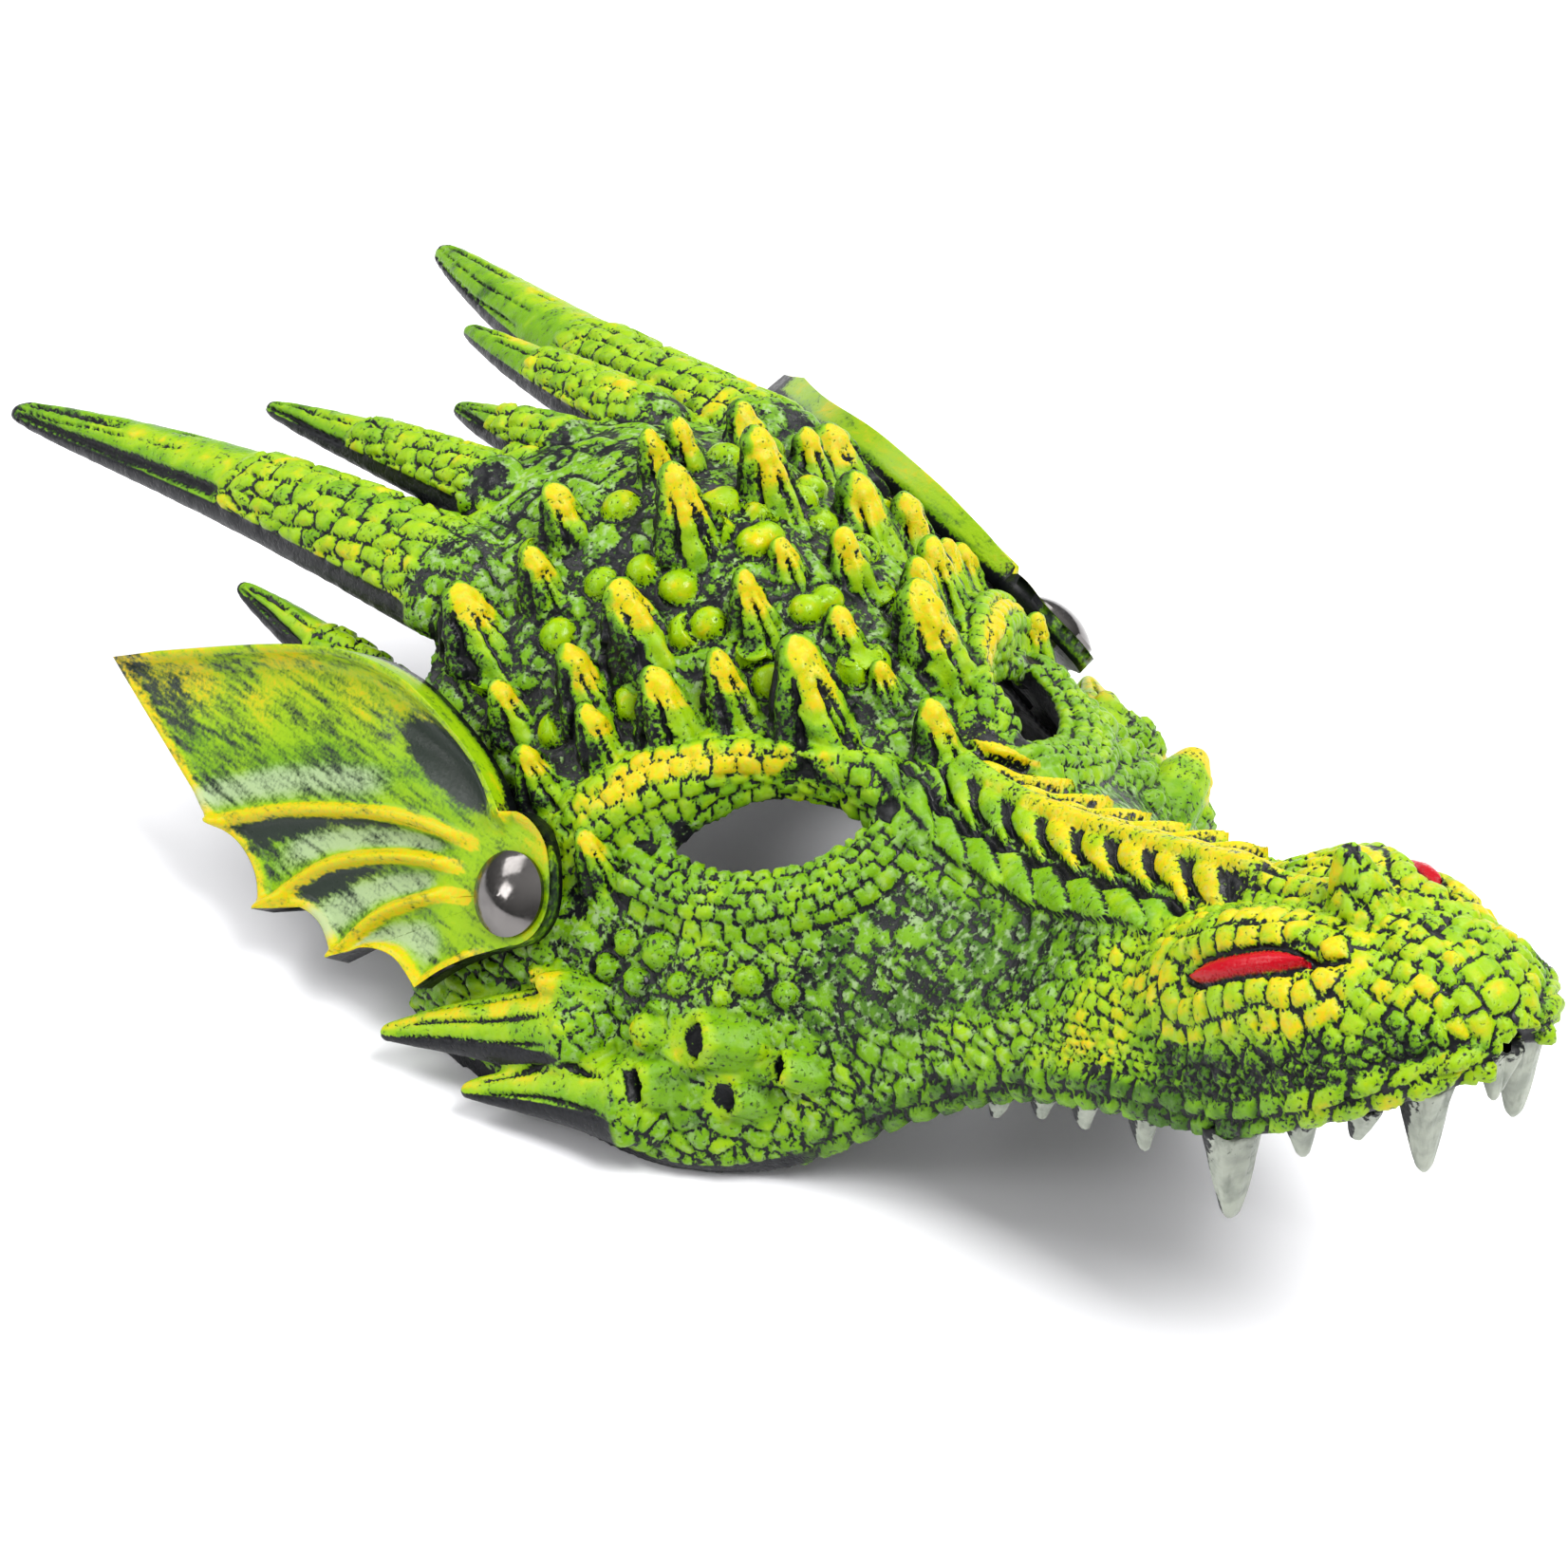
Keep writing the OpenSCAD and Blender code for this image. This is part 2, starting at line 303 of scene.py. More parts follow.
def tube_solid(rings):
    """Closed solid through rings of points, closed by a point at each end."""
    rings = np.asarray(rings)
    n, m = rings.shape[:2]
    idx = np.arange(n * m).reshape(n, m)
    nxt = np.roll(idx, -1, axis=1)
    body = np.stack([idx[:-1], nxt[:-1], nxt[1:], idx[1:]], -1).reshape(-1, 4)
    verts = np.concatenate([rings.reshape(-1, 3), rings[0].mean(0)[None], rings[-1].mean(0)[None]])
    faces = [list(f) for f in body]
    for j in range(m):
        faces.append([n * m, nxt[0, j], idx[0, j]])
        faces.append([n * m + 1, idx[-1, j], nxt[-1, j]])
    return verts, faces


def apply_modifiers(obj):
    deps = bpy.context.evaluated_depsgraph_get()
    me = bpy.data.meshes.new_from_object(obj.evaluated_get(deps))
    old = obj.data
    obj.modifiers.clear()
    obj.data = me
    bpy.data.meshes.remove(old)


def coords_of(obj):
    co = np.empty(len(obj.data.vertices) * 3)
    obj.data.vertices.foreach_get("co", co)
    co = co.reshape(-1, 3) / MM
    co[:, 1] += Y_MID
    return co


def normals_of(obj):
    no = np.empty(len(obj.data.vertices) * 3)
    obj.data.vertex_normals.foreach_get("vector", no)
    return no.reshape(-1, 3)


def set_coords(obj, p):
    obj.data.vertices.foreach_set("co", to_frame(p).ravel())
    obj.data.update()


def set_value(obj, name, values):
    at = obj.data.attributes.new(name, "FLOAT", "POINT")
    at.data.foreach_set("value", np.clip(values, 0, 1).astype(np.float32))


# ---------------- large forms of the face
# Paths and spots on the right half, as distance from the middle line and y; the left half mirrors them.
EYE_AT, EYE_LEN, EYE_WIDE, EYE_TURN = (29.0, 13.0), 37.0, 14.0, 134.0
BROW = curve(on_skin([(10, 0), (16, 9), (24, 20), (33, 30), (42, 37), (52, 41)]))
LID = curve(on_skin([(16, -5), (24, -5), (32, -1), (39, 7), (44, 16), (47, 26)]))
SPINE = on_skin([(0, y) for y in range(4, -88, -6)])
NOSTRIL_SLIT = curve(on_skin([(19.2, -79.1), (16.6, -87.4), (13.9, -95.4)]))
NOSTRIL_LEAD = curve(on_skin([(13.6, -96.4), (12, -100.5)]), 4)
MOUND_AT, MOUND_SIZE = (15.0, -85.0), (12.0, 22.0)


def mirrored(p):
    q = p.copy()
    q[:, 0] = np.abs(q[:, 0])
    return q


def brow_lift(q):
    d, run, _ = near_path(q, BROW)
    ends = smooth(run, 0, 8) * smooth(path_length(BROW) - run, 0, 10)
    return (0.45 + 0.55 * ends) * 5.0 * fall(d, 2.5, 7.5)


def mound_gap(q):
    """Distance from the middle of the nostril's mound, 1 at its foot."""
    return np.hypot((q[:, 0] - MOUND_AT[0]) / MOUND_SIZE[0], (q[:, 1] - MOUND_AT[1]) / MOUND_SIZE[1])


def large_forms(p):
    """How far the brow, lids, nose and cheeks stand out from the plain skin."""
    q = mirrored(p)
    x, y = q[:, 0], q[:, 1]
    lift = brow_lift(q)
    lift += 2.6 * fall(near_path(q, LID)[0], 1.5, 6.5)
    lift += 2.4 * fall(near_path(q, SPINE)[0], 1.5, 6)
    lift += 5.5 * bump(mound_gap(q), 1.0) - 1.2 * bump(np.abs(mound_gap(q) - 1.05), 0.25) * (y < -60)
    lift -= 2.6 * bump(near_path(q, NOSTRIL_SLIT)[0], 5.0)
    lift -= 1.0 * bump(near_path(q, NOSTRIL_LEAD)[0], 1.8)
    lift -= 2.4 * bump(np.hypot((x - 20) / 12, (y + 38) / 26), 1.0)
    lift += 2.5 * bump(np.hypot((x - 56) / 22, y / 24), 1.0)
    a = across_of(q)
    lift += 1.6 * bump((a - 80) / 18, 1.0) * smooth(-y, 10, 40)
    lift += 1.6 * (noise3(p, 16, 5) - 0.5) * smooth(y, 20, 45)
    return lift


def eye_outline():
    """The right eye hole seen from above."""
    r = (EYE_LEN ** 2 + EYE_WIDE ** 2) / (4 * EYE_WIDE)
    arc = np.linspace(-1, 1, 24) * math.asin(EYE_LEN / 2 / r)
    lens = np.column_stack([r * np.sin(arc), r * np.cos(arc) - r + EYE_WIDE / 2])
    lens = np.concatenate([lens, -lens[1:-1]])
    c, sn = math.cos(math.radians(EYE_TURN)), math.sin(math.radians(EYE_TURN))
    return lens @ np.array([[c, sn], [-sn, c]]) + [-EYE_AT[0], EYE_AT[1]]


def face_shell():
    n, m = 190, 170
    a = 90 * (2 * np.linspace(0, 1, m)[None, :] - 1)
    end = LAST - TEMPLE_CUT * np.sin(np.radians(a)) ** 2
    s = end * np.linspace(0, 1, n)[:, None]
    outer, inner = skin(s, a), skin(s, a, WALL)
    du, dv = np.gradient(outer, axis=0), np.gradient(outer, axis=1)
    normal = np.cross(dv, du)
    normal = unit(np.where(normal[..., 2:] < 0, -normal, normal) + [0, 0, 1e-6])
    lift = large_forms(outer.reshape(-1, 3)).reshape(n, m)
    edge = np.minimum(np.arange(m), np.arange(m)[::-1])[None, :] / (m - 1)
    outer = outer + normal * (lift * smooth(edge, 0, 0.03))[..., None]
    outer[..., 2] = np.maximum(outer[..., 2], 0)
    shell = new_object("face", *grid_solid(outer, inner))
    for side in (-1, 1):
        out = eye_outline()
        if side > 0:
            out = out[::-1] * [-1, 1]
        verts, faces = tube_solid([np.column_stack([out, np.full(len(out), z)]) for z in (10, 100)])
        # the outline runs clockwise, so its faces are turned to look outwards
        cutter = new_object("cutter", verts, [f[::-1] for f in faces])
        mod = shell.modifiers.new("eye", "BOOLEAN")
        mod.operation, mod.solver, mod.object = "DIFFERENCE", "EXACT", cutter
        apply_modifiers(shell)
        bpy.data.objects.remove(cutter)
    return shell


# ---------------- horns, spikes and bumps
HORN_R = 13.6
# [root, tip, root radius, thickness over width, sideways bend] on the right side
HORNS = [
    [(-35, 95, 60), (-53, 229, 41), HORN_R, 0.72, 3.0],
    [(-18, 108, 66), (-24, 177, 55), 0.62 * HORN_R, 0.8, 0.5],
    [(-52, 84, 41), (-56, 139, 46), 0.55 * HORN_R, 0.9, 0.5]]
CENTRE_HORN = [(0, 108, 67), (0, 146, 60), 0.55 * HORN_R, 0.85, 0.0]
CHEEK_SPIKES = [
    [(-64, 24, 15.5), (-85, 54, 7.5), 9.6, 0.9, 1.2],
    [(-64, 10, 10), (-82, 34, 6), 8.8, 0.9, 1.2]]
# [distance from the middle line, y, width, height] of the thorns on each side, then on the middle line
SPIKES = [
    [13, 21, 1.35, 14.5], [21.5, 33, 0.85, 9.5], [30, 39, 1.0, 9.5], [39, 46, 0.85, 7], [48, 52, 0.8, 6],
    [10.5, 40, 0.85, 9.5], [25.5, 54, 1.2, 10], [36.5, 54, 0.95, 10], [9, 61, 1.05, 14], [30, 75, 0.85, 7.5],
    [20.5, 81, 0.95, 8.5], [44.6, 64.6, 0.85, 5], [40.5, 80, 1.3, 7.5], [3, 77, 0.75, 9],
    [49.5, 33.5, 0.7, 6.5]]
MIDDLE_SPIKES = [[44, 0.75, 6], [28, 0.8, 6], [17, 0.7, 5.5], [3, 0.9, 9]]
# [distance from the middle line, y] of the round pebbles between them
PEBBLES = [
    (1.4, 63), (5, 58), (1.4, 52), (18, 62.5), (16, 55), (24, 67), (20, 48), (16.5, 46), (14, 36),
    (2.5, 36.5), (2, 23.5), (15, 31), (34, 67), (45, 73), (12, 77), (33, 47), (27, 83), (43, 56)]
BACK_LEAN, SUNK = 4.0, 5.0
# [place across, first and last part of the length, width] of the deep cuts along a horn's end
HORN_STROKES = [(0.86, 0.30, 0.99, 0.13), (0.15, 0.70, 0.98, 0.16)]


def around(n):
    """n angles round a ring."""
    return np.linspace(0, 2 * math.pi, n, endpoint=False)


def blunt(t, start, least):
    """Rounds off a tip: 1 up to start, then down to the root of least."""
    return 1.0 if t < start else math.sqrt(max(least, 1 - ((t - start) / (1 - start)) ** 2))


def flip(p):
    return np.asarray(p, float) * [-1, 1, 1]


def horn_lines():
    """Every horn and cheek spike on both sides: root, tip, radius, flatness, bend."""
    out = []
    for root, tip, *size, bow in HORNS + CHEEK_SPIKES:
        out.append((np.array(root, float), np.array(tip, float), *size, bow))
        out.append((flip(root), flip(tip), *size, -bow))
    root, tip, *rest = CENTRE_HORN
    return out + [(np.array(root, float), np.array(tip, float), *rest)]


def horn_axes(root, tip):
    along = unit(tip - root)
    side = unit(np.cross(along, [0, 0, 1]))
    return along, side, np.cross(side, along)


def horn_radius(t, r):
    """Cheek spikes taper evenly, horns stay thick."""
    return (1 - t) ** (0.85 if 8.5 < r < 10 else 0.66) + 0.13 * t


def horn_solid(root, tip, r, flat, bow):
    along, side, up = horn_axes(root, tip)
    length = np.linalg.norm(tip - root)
    rings, sink = [], 1.15 * r / length
    ang = around(48)
    for t in np.concatenate([np.linspace(-sink, 0, 7)[:-1], np.linspace(0, 0.97, 40), [0.985, 0.996]]):
        under = min(t, 0) / sink
        rr = r * horn_radius(max(t, 0), r) * blunt(t, 0.97, 0.05) * math.sqrt(1 - 0.8 * under ** 2)
        centre = root + along * (t * length) + side * bow * math.sin(math.pi * min(max(t, 0), 1))
        centre = centre - [0, 0, 0.55 * r * under ** 2]
        ridge = 1 + 0.05 * np.cos(3 * (ang - math.pi / 2))
        c, s = np.cos(ang) * ridge, np.sin(ang) * ridge
        s = np.where(s < 0, s * 0.75, s)
        rings.append(centre + rr * (c[:, None] * side + s[:, None] * flat * up))
    return tube_solid(rings)


def spike_feet():
    """Foot and tip of every forehead thorn, with its width."""
    out = []
    for x, y, size, high in SPIKES:
        foot = skin_point(x, y)
        tip = foot + [0.06 * x, BACK_LEAN * size, high]
        out += [(foot, tip, size), (flip(foot), flip(tip), size)]
    for y, size, high in MIDDLE_SPIKES:
        foot = skin_point(0, y)
        out.append((foot, foot + [0, BACK_LEAN * size, high], size))
    return out


def spike_axis(foot, tip, size, t):
    """Middle, half width, front and back reach of a thorn at t, 0 at the sunk base and 1 at the tip."""
    base = foot + [0, -1.0 * size, -SUNK]
    taper = np.maximum(1 - t, 0) ** 0.85
    middle = base + (tip - base) * np.asarray(t)[..., None]
    return middle, size * (5.6 * taper + 1.3), size * (7.4 * taper + 1.5), size * (4.2 * taper + 1.2)


def spike_solid(foot, tip, size, k):
    """A blunt thorn: steep behind, a long rounded ridge down its front."""
    rings, ang = [], around(48)
    phase = 6.28 * lot(k)
    for t in np.concatenate([np.linspace(0, 0.90, 18), [0.94, 0.97, 0.99, 0.997]]):
        middle, wide, front, behind = spike_axis(foot, tip, size, t)
        flute = (1 + (0.11 - 0.05 * t) * np.cos(7 * ang + phase)) * blunt(t, 0.9, 0.03)
        narrow = 1 - 0.30 * smooth(-np.sin(ang), 0.2, 1.0)
        x = wide * np.cos(ang) * narrow * flute
        y = np.where(np.sin(ang) < 0, front, behind) * np.sin(ang) * flute
        rings.append(middle + np.column_stack([x, y, 0 * y]))
    return tube_solid(rings)


def nose_horn_solid():
    rings, ang = [], around(32)
    for t in np.linspace(0, 0.98, 14):
        centre = np.array([0, -97, 80]) * (1 - t) + np.array([0, -89, 93.5]) * t
        r = 6.0 * (1 - t) ** 0.9 + 0.8
        rings.append(centre + np.column_stack([r * np.cos(ang), 1.2 * r * np.sin(ang), 0 * ang]))
    return tube_solid(rings)


def join_and_remesh(objects):
    """One closed skin round all the objects, which overlap."""
    first = objects[0]
    verts, faces, start = [], [], 0
    for o in objects:
        me = o.data
        verts += [v.co[:] for v in me.vertices]
        faces += [[start + i for i in f.vertices] for f in me.polygons]
        start = len(verts)
    me = bpy.data.meshes.new(first.name)
    me.from_pydata(verts, [], faces)
    for o in objects[1:]:
        bpy.data.objects.remove(o)
    first.data = me
    mod = first.modifiers.new("one casting", "REMESH")
    mod.mode, mod.voxel_size, mod.use_smooth_shade = "VOXEL", VOXEL * MM, True
    apply_modifiers(first)
    return first


def casting():
    """The face, horns, thorns and cones as one closed mesh."""
    parts = [face_shell()]
    parts += [new_object("horn", *horn_solid(*line)) for line in horn_lines()]
    parts += [new_object("spike", *spike_solid(*spike, k)) for k, spike in enumerate(spike_feet())]
    parts.append(new_object("nose_horn", *nose_horn_solid()))
    parts += [new_object("cone", *cone_solid(side, *cone)) for cone in CONES for side in (-1, 1)]
    return join_and_remesh(parts)


# ---------------- fine relief and paint of the casting
def scale_rows(u, v, size_u, size_v, jitter, seed):
    """Rows of scales: a dome height 0 to 1, the groove between scales 0 to 1, and each scale's number."""
    row = np.floor(v / size_v)
    f1, f2, tag = cells(np.column_stack([u / size_u + 0.5 * (row % 2), v / size_v]), jitter, seed)
    gap = f2 - f1
    return smooth(gap, 0.02, 0.42), fall(gap, 0.03, 0.17), tag


def pebbles(p, size, jitter, seed):
    """Round scales: dome height, groove and number."""
    f1, f2, tag = cells(p / size, jitter, seed)
    gap = f2 - f1
    return smooth(gap, 0.0, 0.40), fall(gap, 0.02, 0.14), tag


class Relief:
    """Height in mm and the paint of each point: groove, yellow, whitish dry brush mixed with painted sheen,
    bare foam, red and gloss.
    """

    KINDS = ("height", "groove", "yellow", "pale", "bare", "red", "gloss")

    def __init__(self, n, **start):
        for kind in self.KINDS:
            setattr(self, kind, np.full(n, start.get(kind, 0.0)))

    def lay(self, weight, at=slice(None), **values):
        """Blend values in by weight, at all or some of the points."""
        for kind, value in values.items():
            mine = getattr(self, kind)
            mine[at] = mine[at] * (1 - weight) + value * weight

    def scales(self, weight, pattern, high, deep, yellow, vary, pale):
        """Lay a pattern of scales, its yellow varied from scale to scale."""
        dome, groove, tag = pattern
        self.lay(weight, height=high * dome, groove=deep * groove, yellow=yellow + vary * tag, pale=pale)


# [mouth, lift, foot, radius, hollow] of the cheek's short cones, [x, y, radius] of its bumps
CONES = [
    [(52.8, -0.2), 5.0, (50.1, -3.6), 4.3, True], [(60.6, 6.0), 4.5, (58.7, 3.2), 3.7, True],
    [(52.2, -7.2), 3.6, (50.8, -9.0), 3.1, True], [(45.8, -12.5), 3.6, (44.1, -15.8), 2.9, True],
    [(64.6, 34.0), 1.6, (62.4, 30.5), 2.4, True], [(57.9, 10.7), 3.0, (57.0, 8.5), 2.9, False],
    [(62.5, 29.3), 4.0, (60.7, 23.4), 2.9, False]]
# [part of the way from foot to mouth, radius over the cone's] of a cone's rings
CONE_FOOT = [(-0.4, 0.9), (-0.15, 1.2), (0.1, 1.22), (0.45, 1.12), (0.8, 1.0)]
CONE_MOUTH = [(0.97, 0.97), (1.0, 0.88), (0.9, 0.74), (0.4, 0.62)]
CONE_TIP = [(1.0, 0.75), (1.15, 0.5), (1.22, 0.22)]
TALLER, TALL_FROM = 5.0, 3.5  # the largest cones stand taller, and pointed, on the left
CHEEK_BUMPS = [
    (51.2, 16, 3.3), (55.4, 16.8, 2.6), (51.7, 9, 2.6), (47.3, 6.1, 2.5), (45, -0.5, 2.8), (48.9, 1.6, 2.4),
    (55.6, 10.3, 2.6), (57.2, 23.3, 2.4), (53.8, 22.6, 2.2), (42, -6.5, 2.3), (57.5, -5, 2.2)]


def cone_line(mouth_at, lift, foot_at, r):
    """Foot and mouth of a cheek cone, on the side where x is positive."""
    mouth, foot = on_skin([mouth_at, foot_at])
    out = outward(mouth[None])[0]
    return foot - out * 0.35 * r, mouth + out * lift


def cone_solid(side, mouth_at, lift, foot_at, r, hollow):
    foot, mouth = cone_line(mouth_at, lift, foot_at, r)
    if side > 0 and r > TALL_FROM:
        mouth, hollow = mouth + TALLER * unit(mouth - foot), False
    foot, mouth = foot * [side, 1, 1], mouth * [side, 1, 1]
    _, across, up = horn_axes(foot, mouth)
    steps, ang = CONE_FOOT + (CONE_MOUTH if hollow else CONE_TIP), around(30)
    lump = 1 + 0.08 * np.cos(3 * ang + 2 * mouth_at[0]) + 0.05 * np.cos(7 * ang + mouth_at[1])
    ring = np.cos(ang)[:, None] * across + np.sin(ang)[:, None] * up
    return tube_solid([foot + (mouth - foot) * t + ring * (lump * r * k)[:, None] for t, k in steps])


def cheek_scales(relief, p, q, a):
    y = q[:, 1]
    rough = noise3(p, 6, 21)[:, None] - 0.5
    plain = pebbles((q + 1.6 * rough) * [1, 0.6, 1], 3.2, 0.8, 3)
    # the cheek's whitish value is dry brushing mixed with painted sheen
    relief.scales(np.ones(len(p)), plain, high=1.1, deep=0.85, yellow=0.17, vary=0.16, pale=0.7)
    jaw = pebbles((q + 1.2 * rough) * [1, 0.7, 1], 3.6, 0.85, 14)
    w = smooth(a, 74, 84) * smooth(y, -30, -10)
    relief.scales(w, jaw, high=1.0, deep=0.9, yellow=0.22, vary=0.15, pale=0.5)
    w = smooth(a, 22, 34) * fall(a, 52, 66) * smooth(-y, 2, 12) * fall(-y, 42, 56)
    wrinkle = np.abs(2 * noise3(p * [1, 0.7, 1], 2.2, 23) - 1)
    relief.lay(w, height=0.5 * wrinkle, groove=0.62 * fall(wrinkle, 0.05, 0.4) + 0.12,
               yellow=0.05, pale=1.0)


def snout_scales(relief, q, a, st):
    y, z = q[:, 1], q[:, 2]
    depth = 0.5 * st[:, 1] + 0.5 * (st[:, 2] - np.maximum(0, st[:, 3]))
    girth = np.radians(a) * depth
    slanting = scale_rows(y + 0.25 * girth, girth, 2.9, 2.8, 0.45, 5)
    relief.scales(smooth(-y, 50, 62), slanting, high=0.8, deep=1.0, yellow=0.42, vary=0.28, pale=0.15)
    up_lip = z - np.maximum(0, st[:, 3])
    low = smooth(-y, 70, 85) * smooth(a, 40, 60) * fall(up_lip, 13, 20)
    front = scale_rows(y, girth, 3.6, 3.4, 0.4, 15)
    relief.scales(smooth(-y, 92, 106), front, high=1.0, deep=1.0, yellow=0.45, vary=0.28, pale=0.1)
    # painted shade: the lower side of the snout's front, under the nostril, is made less yellow and blacker
    relief.yellow -= 0.40 * low
    relief.groove += 0.42 * low
    dome, groove, _ = scale_rows(y, up_lip + 21.5, 4.5, 4.2, 0.3, 6)
    w = fall(up_lip, 6.5, 8) * smooth(a, 50, 65) * smooth(-y, 8, 25)
    relief.lay(w, height=1.1 * dome, groove=groove + 0.16, yellow=0.10 + 0.40 * smooth(-y, 96, 108),
               pale=0.15)


def forehead_hide(relief, p, q, a):
    w = smooth(q[:, 1], 8, 18) * fall(a, 56, 68) * smooth(near_path(q, BROW)[0], 5, 8)
    wrinkle = np.abs(2 * noise3(p, 3.0, 12) - 1)
    fold = np.abs(2 * noise3(p, 7.5, 13) - 1)
    relief.lay(w, height=0.9 * wrinkle + 0.9 * fold, yellow=0.20,
               groove=0.10 + 0.75 * fall(wrinkle, 0.05, 0.42) * (1 - 0.4 * fold), pale=1.0)
    for k, (px, py) in enumerate(PEBBLES):
        d = lengths(q - skin_point(px, py))
        r = 3.0 + 0.7 * lot(k, 4)
        relief.lay(fall(d, r, r + 0.5), height=2.7 * round_top(d, r),
                   groove=0.25 * smooth(d, r - 0.8, r), yellow=0.50, pale=0.0, gloss=1.0)
        relief.lay(bump(d - r - 0.6, 0.9) * 0.8, groove=0.85, height=0.0)


def eye_rims(relief, q):
    d, run, arc = round_path(q, BROW)
    dome, groove, tag = scale_rows(run, arc + 21.9, 3.9, 3.6, 0.3, 7)
    streak = bump(arc + 1.5, 4.2) * smooth(run, 8, 18) * fall(run, 50, 62)
    w = fall(d, 7.0, 8.5) * smooth(run, -1, 3)
    relief.lay(w, height=0.8 * dome, groove=groove * (0.95 - 0.3 * streak),
               yellow=0.30 + 0.12 * tag + 0.55 * streak, pale=0.15)
    d, run, arc = round_path(q, LID)
    lid = scale_rows(run, arc + 22.0, 3.5, 4.0, 0.3, 8)
    relief.scales(fall(d, 5.8, 7.0), lid, high=0.9, deep=1.0, yellow=0.17, vary=0.15, pale=0.45)


def blades(p, starts, step, half, rise):
    """Height, groove and number of overlapping pointed blades, each running from its start by step."""
    high, groove, tag = np.zeros(len(p)), np.ones(len(p)), np.zeros(len(p))
    length = np.hypot(*step)
    for k, (bx, by) in list(enumerate(starts))[::-1]:
        dx, dy = p[:, 0] - bx, p[:, 1] - by
        t = (dx * step[0] + dy * step[1]) / length ** 2
        side = np.abs(dx * step[1] - dy * step[0]) / length
        wide = half * np.clip(1.2 * (1 - t), 0, 1) ** 0.6 * smooth(t, -0.15, 0.12) + 1e-3
        on = (side < wide) & (t > -0.15) & (t < 1)
        edge = side / wide
        high = np.where(on, rise * (0.4 + 0.6 * t) * round_top(edge, 1), high)
        groove = np.where(on, smooth(edge, 0.62, 0.92), groove)
        tag = np.where(on, lot(k, int(half * 10)), tag)
    return high, groove, tag


def nose_ridge(relief, p, q):
    """Pointed blades in two rows beside the ridge on the right, slanting bars on the left."""
    x, y = q[:, 0], q[:, 1]
    on_nose = smooth(-y, -7, -1) * fall(-y, 68, 76) * smooth(mound_gap(q), 0.92, 1.08)
    near = (y < 16) & (y > -84) & (x < 20)
    at = p[near]
    # side, reach beside the ridge, starts, step, half width, rise, yellow at the eyes and gained forward
    rows = (
        (-1, 8.0, 18.0, [(-10.4, 9 - 8.4 * k) for k in range(9)], (-3.6, -13.0), 2.9, 3.0, 0.12, 0.15),
        (-1, 0.8, 10.0, [(-1.6, 6 - 8.4 * k) for k in range(9)], (-7.0, -14.0), 2.1, 2.8, 0.30, 0.50),
        (1, 0.6, 14.5, [(0.8, 4 - 9.2 * k) for k in range(9)], (11.5, -12.0), 2.0, 3.6, 0.80, 0.10))
    for way, lo, hi, starts, step, half, rise, hue, gain in rows:
        high, groove, tag = blades(at, starts, step, half, rise)
        reach = way * at[:, 0]
        w = smooth(reach, lo - 0.6, lo) * np.maximum(high > 0, fall(reach, hi - 5, hi - 3))
        yellow = hue + 0.15 * tag + gain * smooth(-at[:, 1], 10, 50)
        relief.lay(w * fall(reach, hi, hi + 0.5) * on_nose[near], near, height=high, groove=groove,
                   yellow=yellow, pale=0.3 * (way < 0), gloss=0.2)
    relief.lay(fall(x, 1.5, 2.3) * on_nose, height=2.4 * fall(x, 0.8, 2.2), groove=0.1,
               yellow=0.50 + 0.35 * smooth(-y, 5, 30), pale=0.2)


def cheek_marks(relief, p, q):
    for px, py, r in CHEEK_BUMPS:
        at = skin_point(px, py)
        d = lengths(q - at)
        relief.lay(fall(d, r, r + 0.7), height=2.9 * round_top(d, r), groove=0.1, yellow=0.30,
                   pale=0.5, gloss=0.4)
        relief.lay(0.6 * bump(d - r - 0.6, 0.9), groove=0.85, height=0.0)
        pit = lengths(q - (at + np.array([0.35, 0.62, -0.3]) * r))
        relief.lay(fall(pit, 0.6, 1.1), height=-0.6, groove=1.3)
    for *shape, r, hollow in CONES:
        foot, mouth = cone_line(*shape, r)
        along = unit(mouth - foot)
        ahead = (q - foot) @ along
        t = ahead / np.linalg.norm(mouth - foot)
        off = lengths(q - foot - ahead[:, None] * along)
        tall = (p[:, 0] > 0) & (r > TALL_FROM)
        lifted = smooth((q[:, 2] - skin_z(q[:, 0], q[:, 1])) * outward(q)[:, 2], 0.8, 2.0)
        w = fall(off, 1.25 * r, 1.5 * r) * np.maximum(lifted, (t > 0.35) * (off < r))
        w = w * (t > -0.3) * (t < np.where(tall, 2.3, 1.5))
        hue = 0.35 * (smooth(t, 0.6, 0.95) + smooth(t, 1.2, 1.6) * tall) + (0.22 if hollow else 0.42)
        relief.lay(w, height=0.3, groove=0.12, pale=0.15, yellow=hue)
        if hollow:
            mouth_in = fall(off, 0.70 * r, 0.82 * r) * (t > 0.2) * (t < 1.25)
            relief.lay(mouth_in, height=-0.3, groove=1.3)


def nostrils(relief, q):
    d, run, gap, way = nearest(q, NOSTRIL_SLIT)
    ahead, beside = np.sum(gap * way, axis=1), np.sum(gap * np.cross(outward(q), way), axis=1)
    loop = run + 5.0 * np.arctan2(ahead, np.abs(beside)) + 60.3 * (beside > 0)
    ring = (q[:, 1] < -60) * fall(d, 9.5, 10.5)
    rows = scale_rows(loop, d + 0.8, 3.7, 4.2, 0.3, 61)
    relief.scales(ring, rows, high=0.8, deep=0.9, yellow=0.56, vary=0.2, pale=0.2)
    wide = 2.5 * (1 - np.clip(np.abs(2 * run / path_length(NOSTRIL_SLIT) - 1), 0, 1) ** 3) + 0.9
    relief.lay(fall(d - wide, 0.5, 1.1), height=-0.3, groove=1.3, yellow=0.0)
    relief.red = fall(d - wide, -0.3, 0.2)
    relief.lay(relief.red, height=2.6 * round_top(d, wide + 0.3), groove=0.0, gloss=1.0)
    d = near_path(q, NOSTRIL_LEAD)[0]
    relief.lay(fall(d, 0.5, 1.2), height=-0.4, groove=1.0)


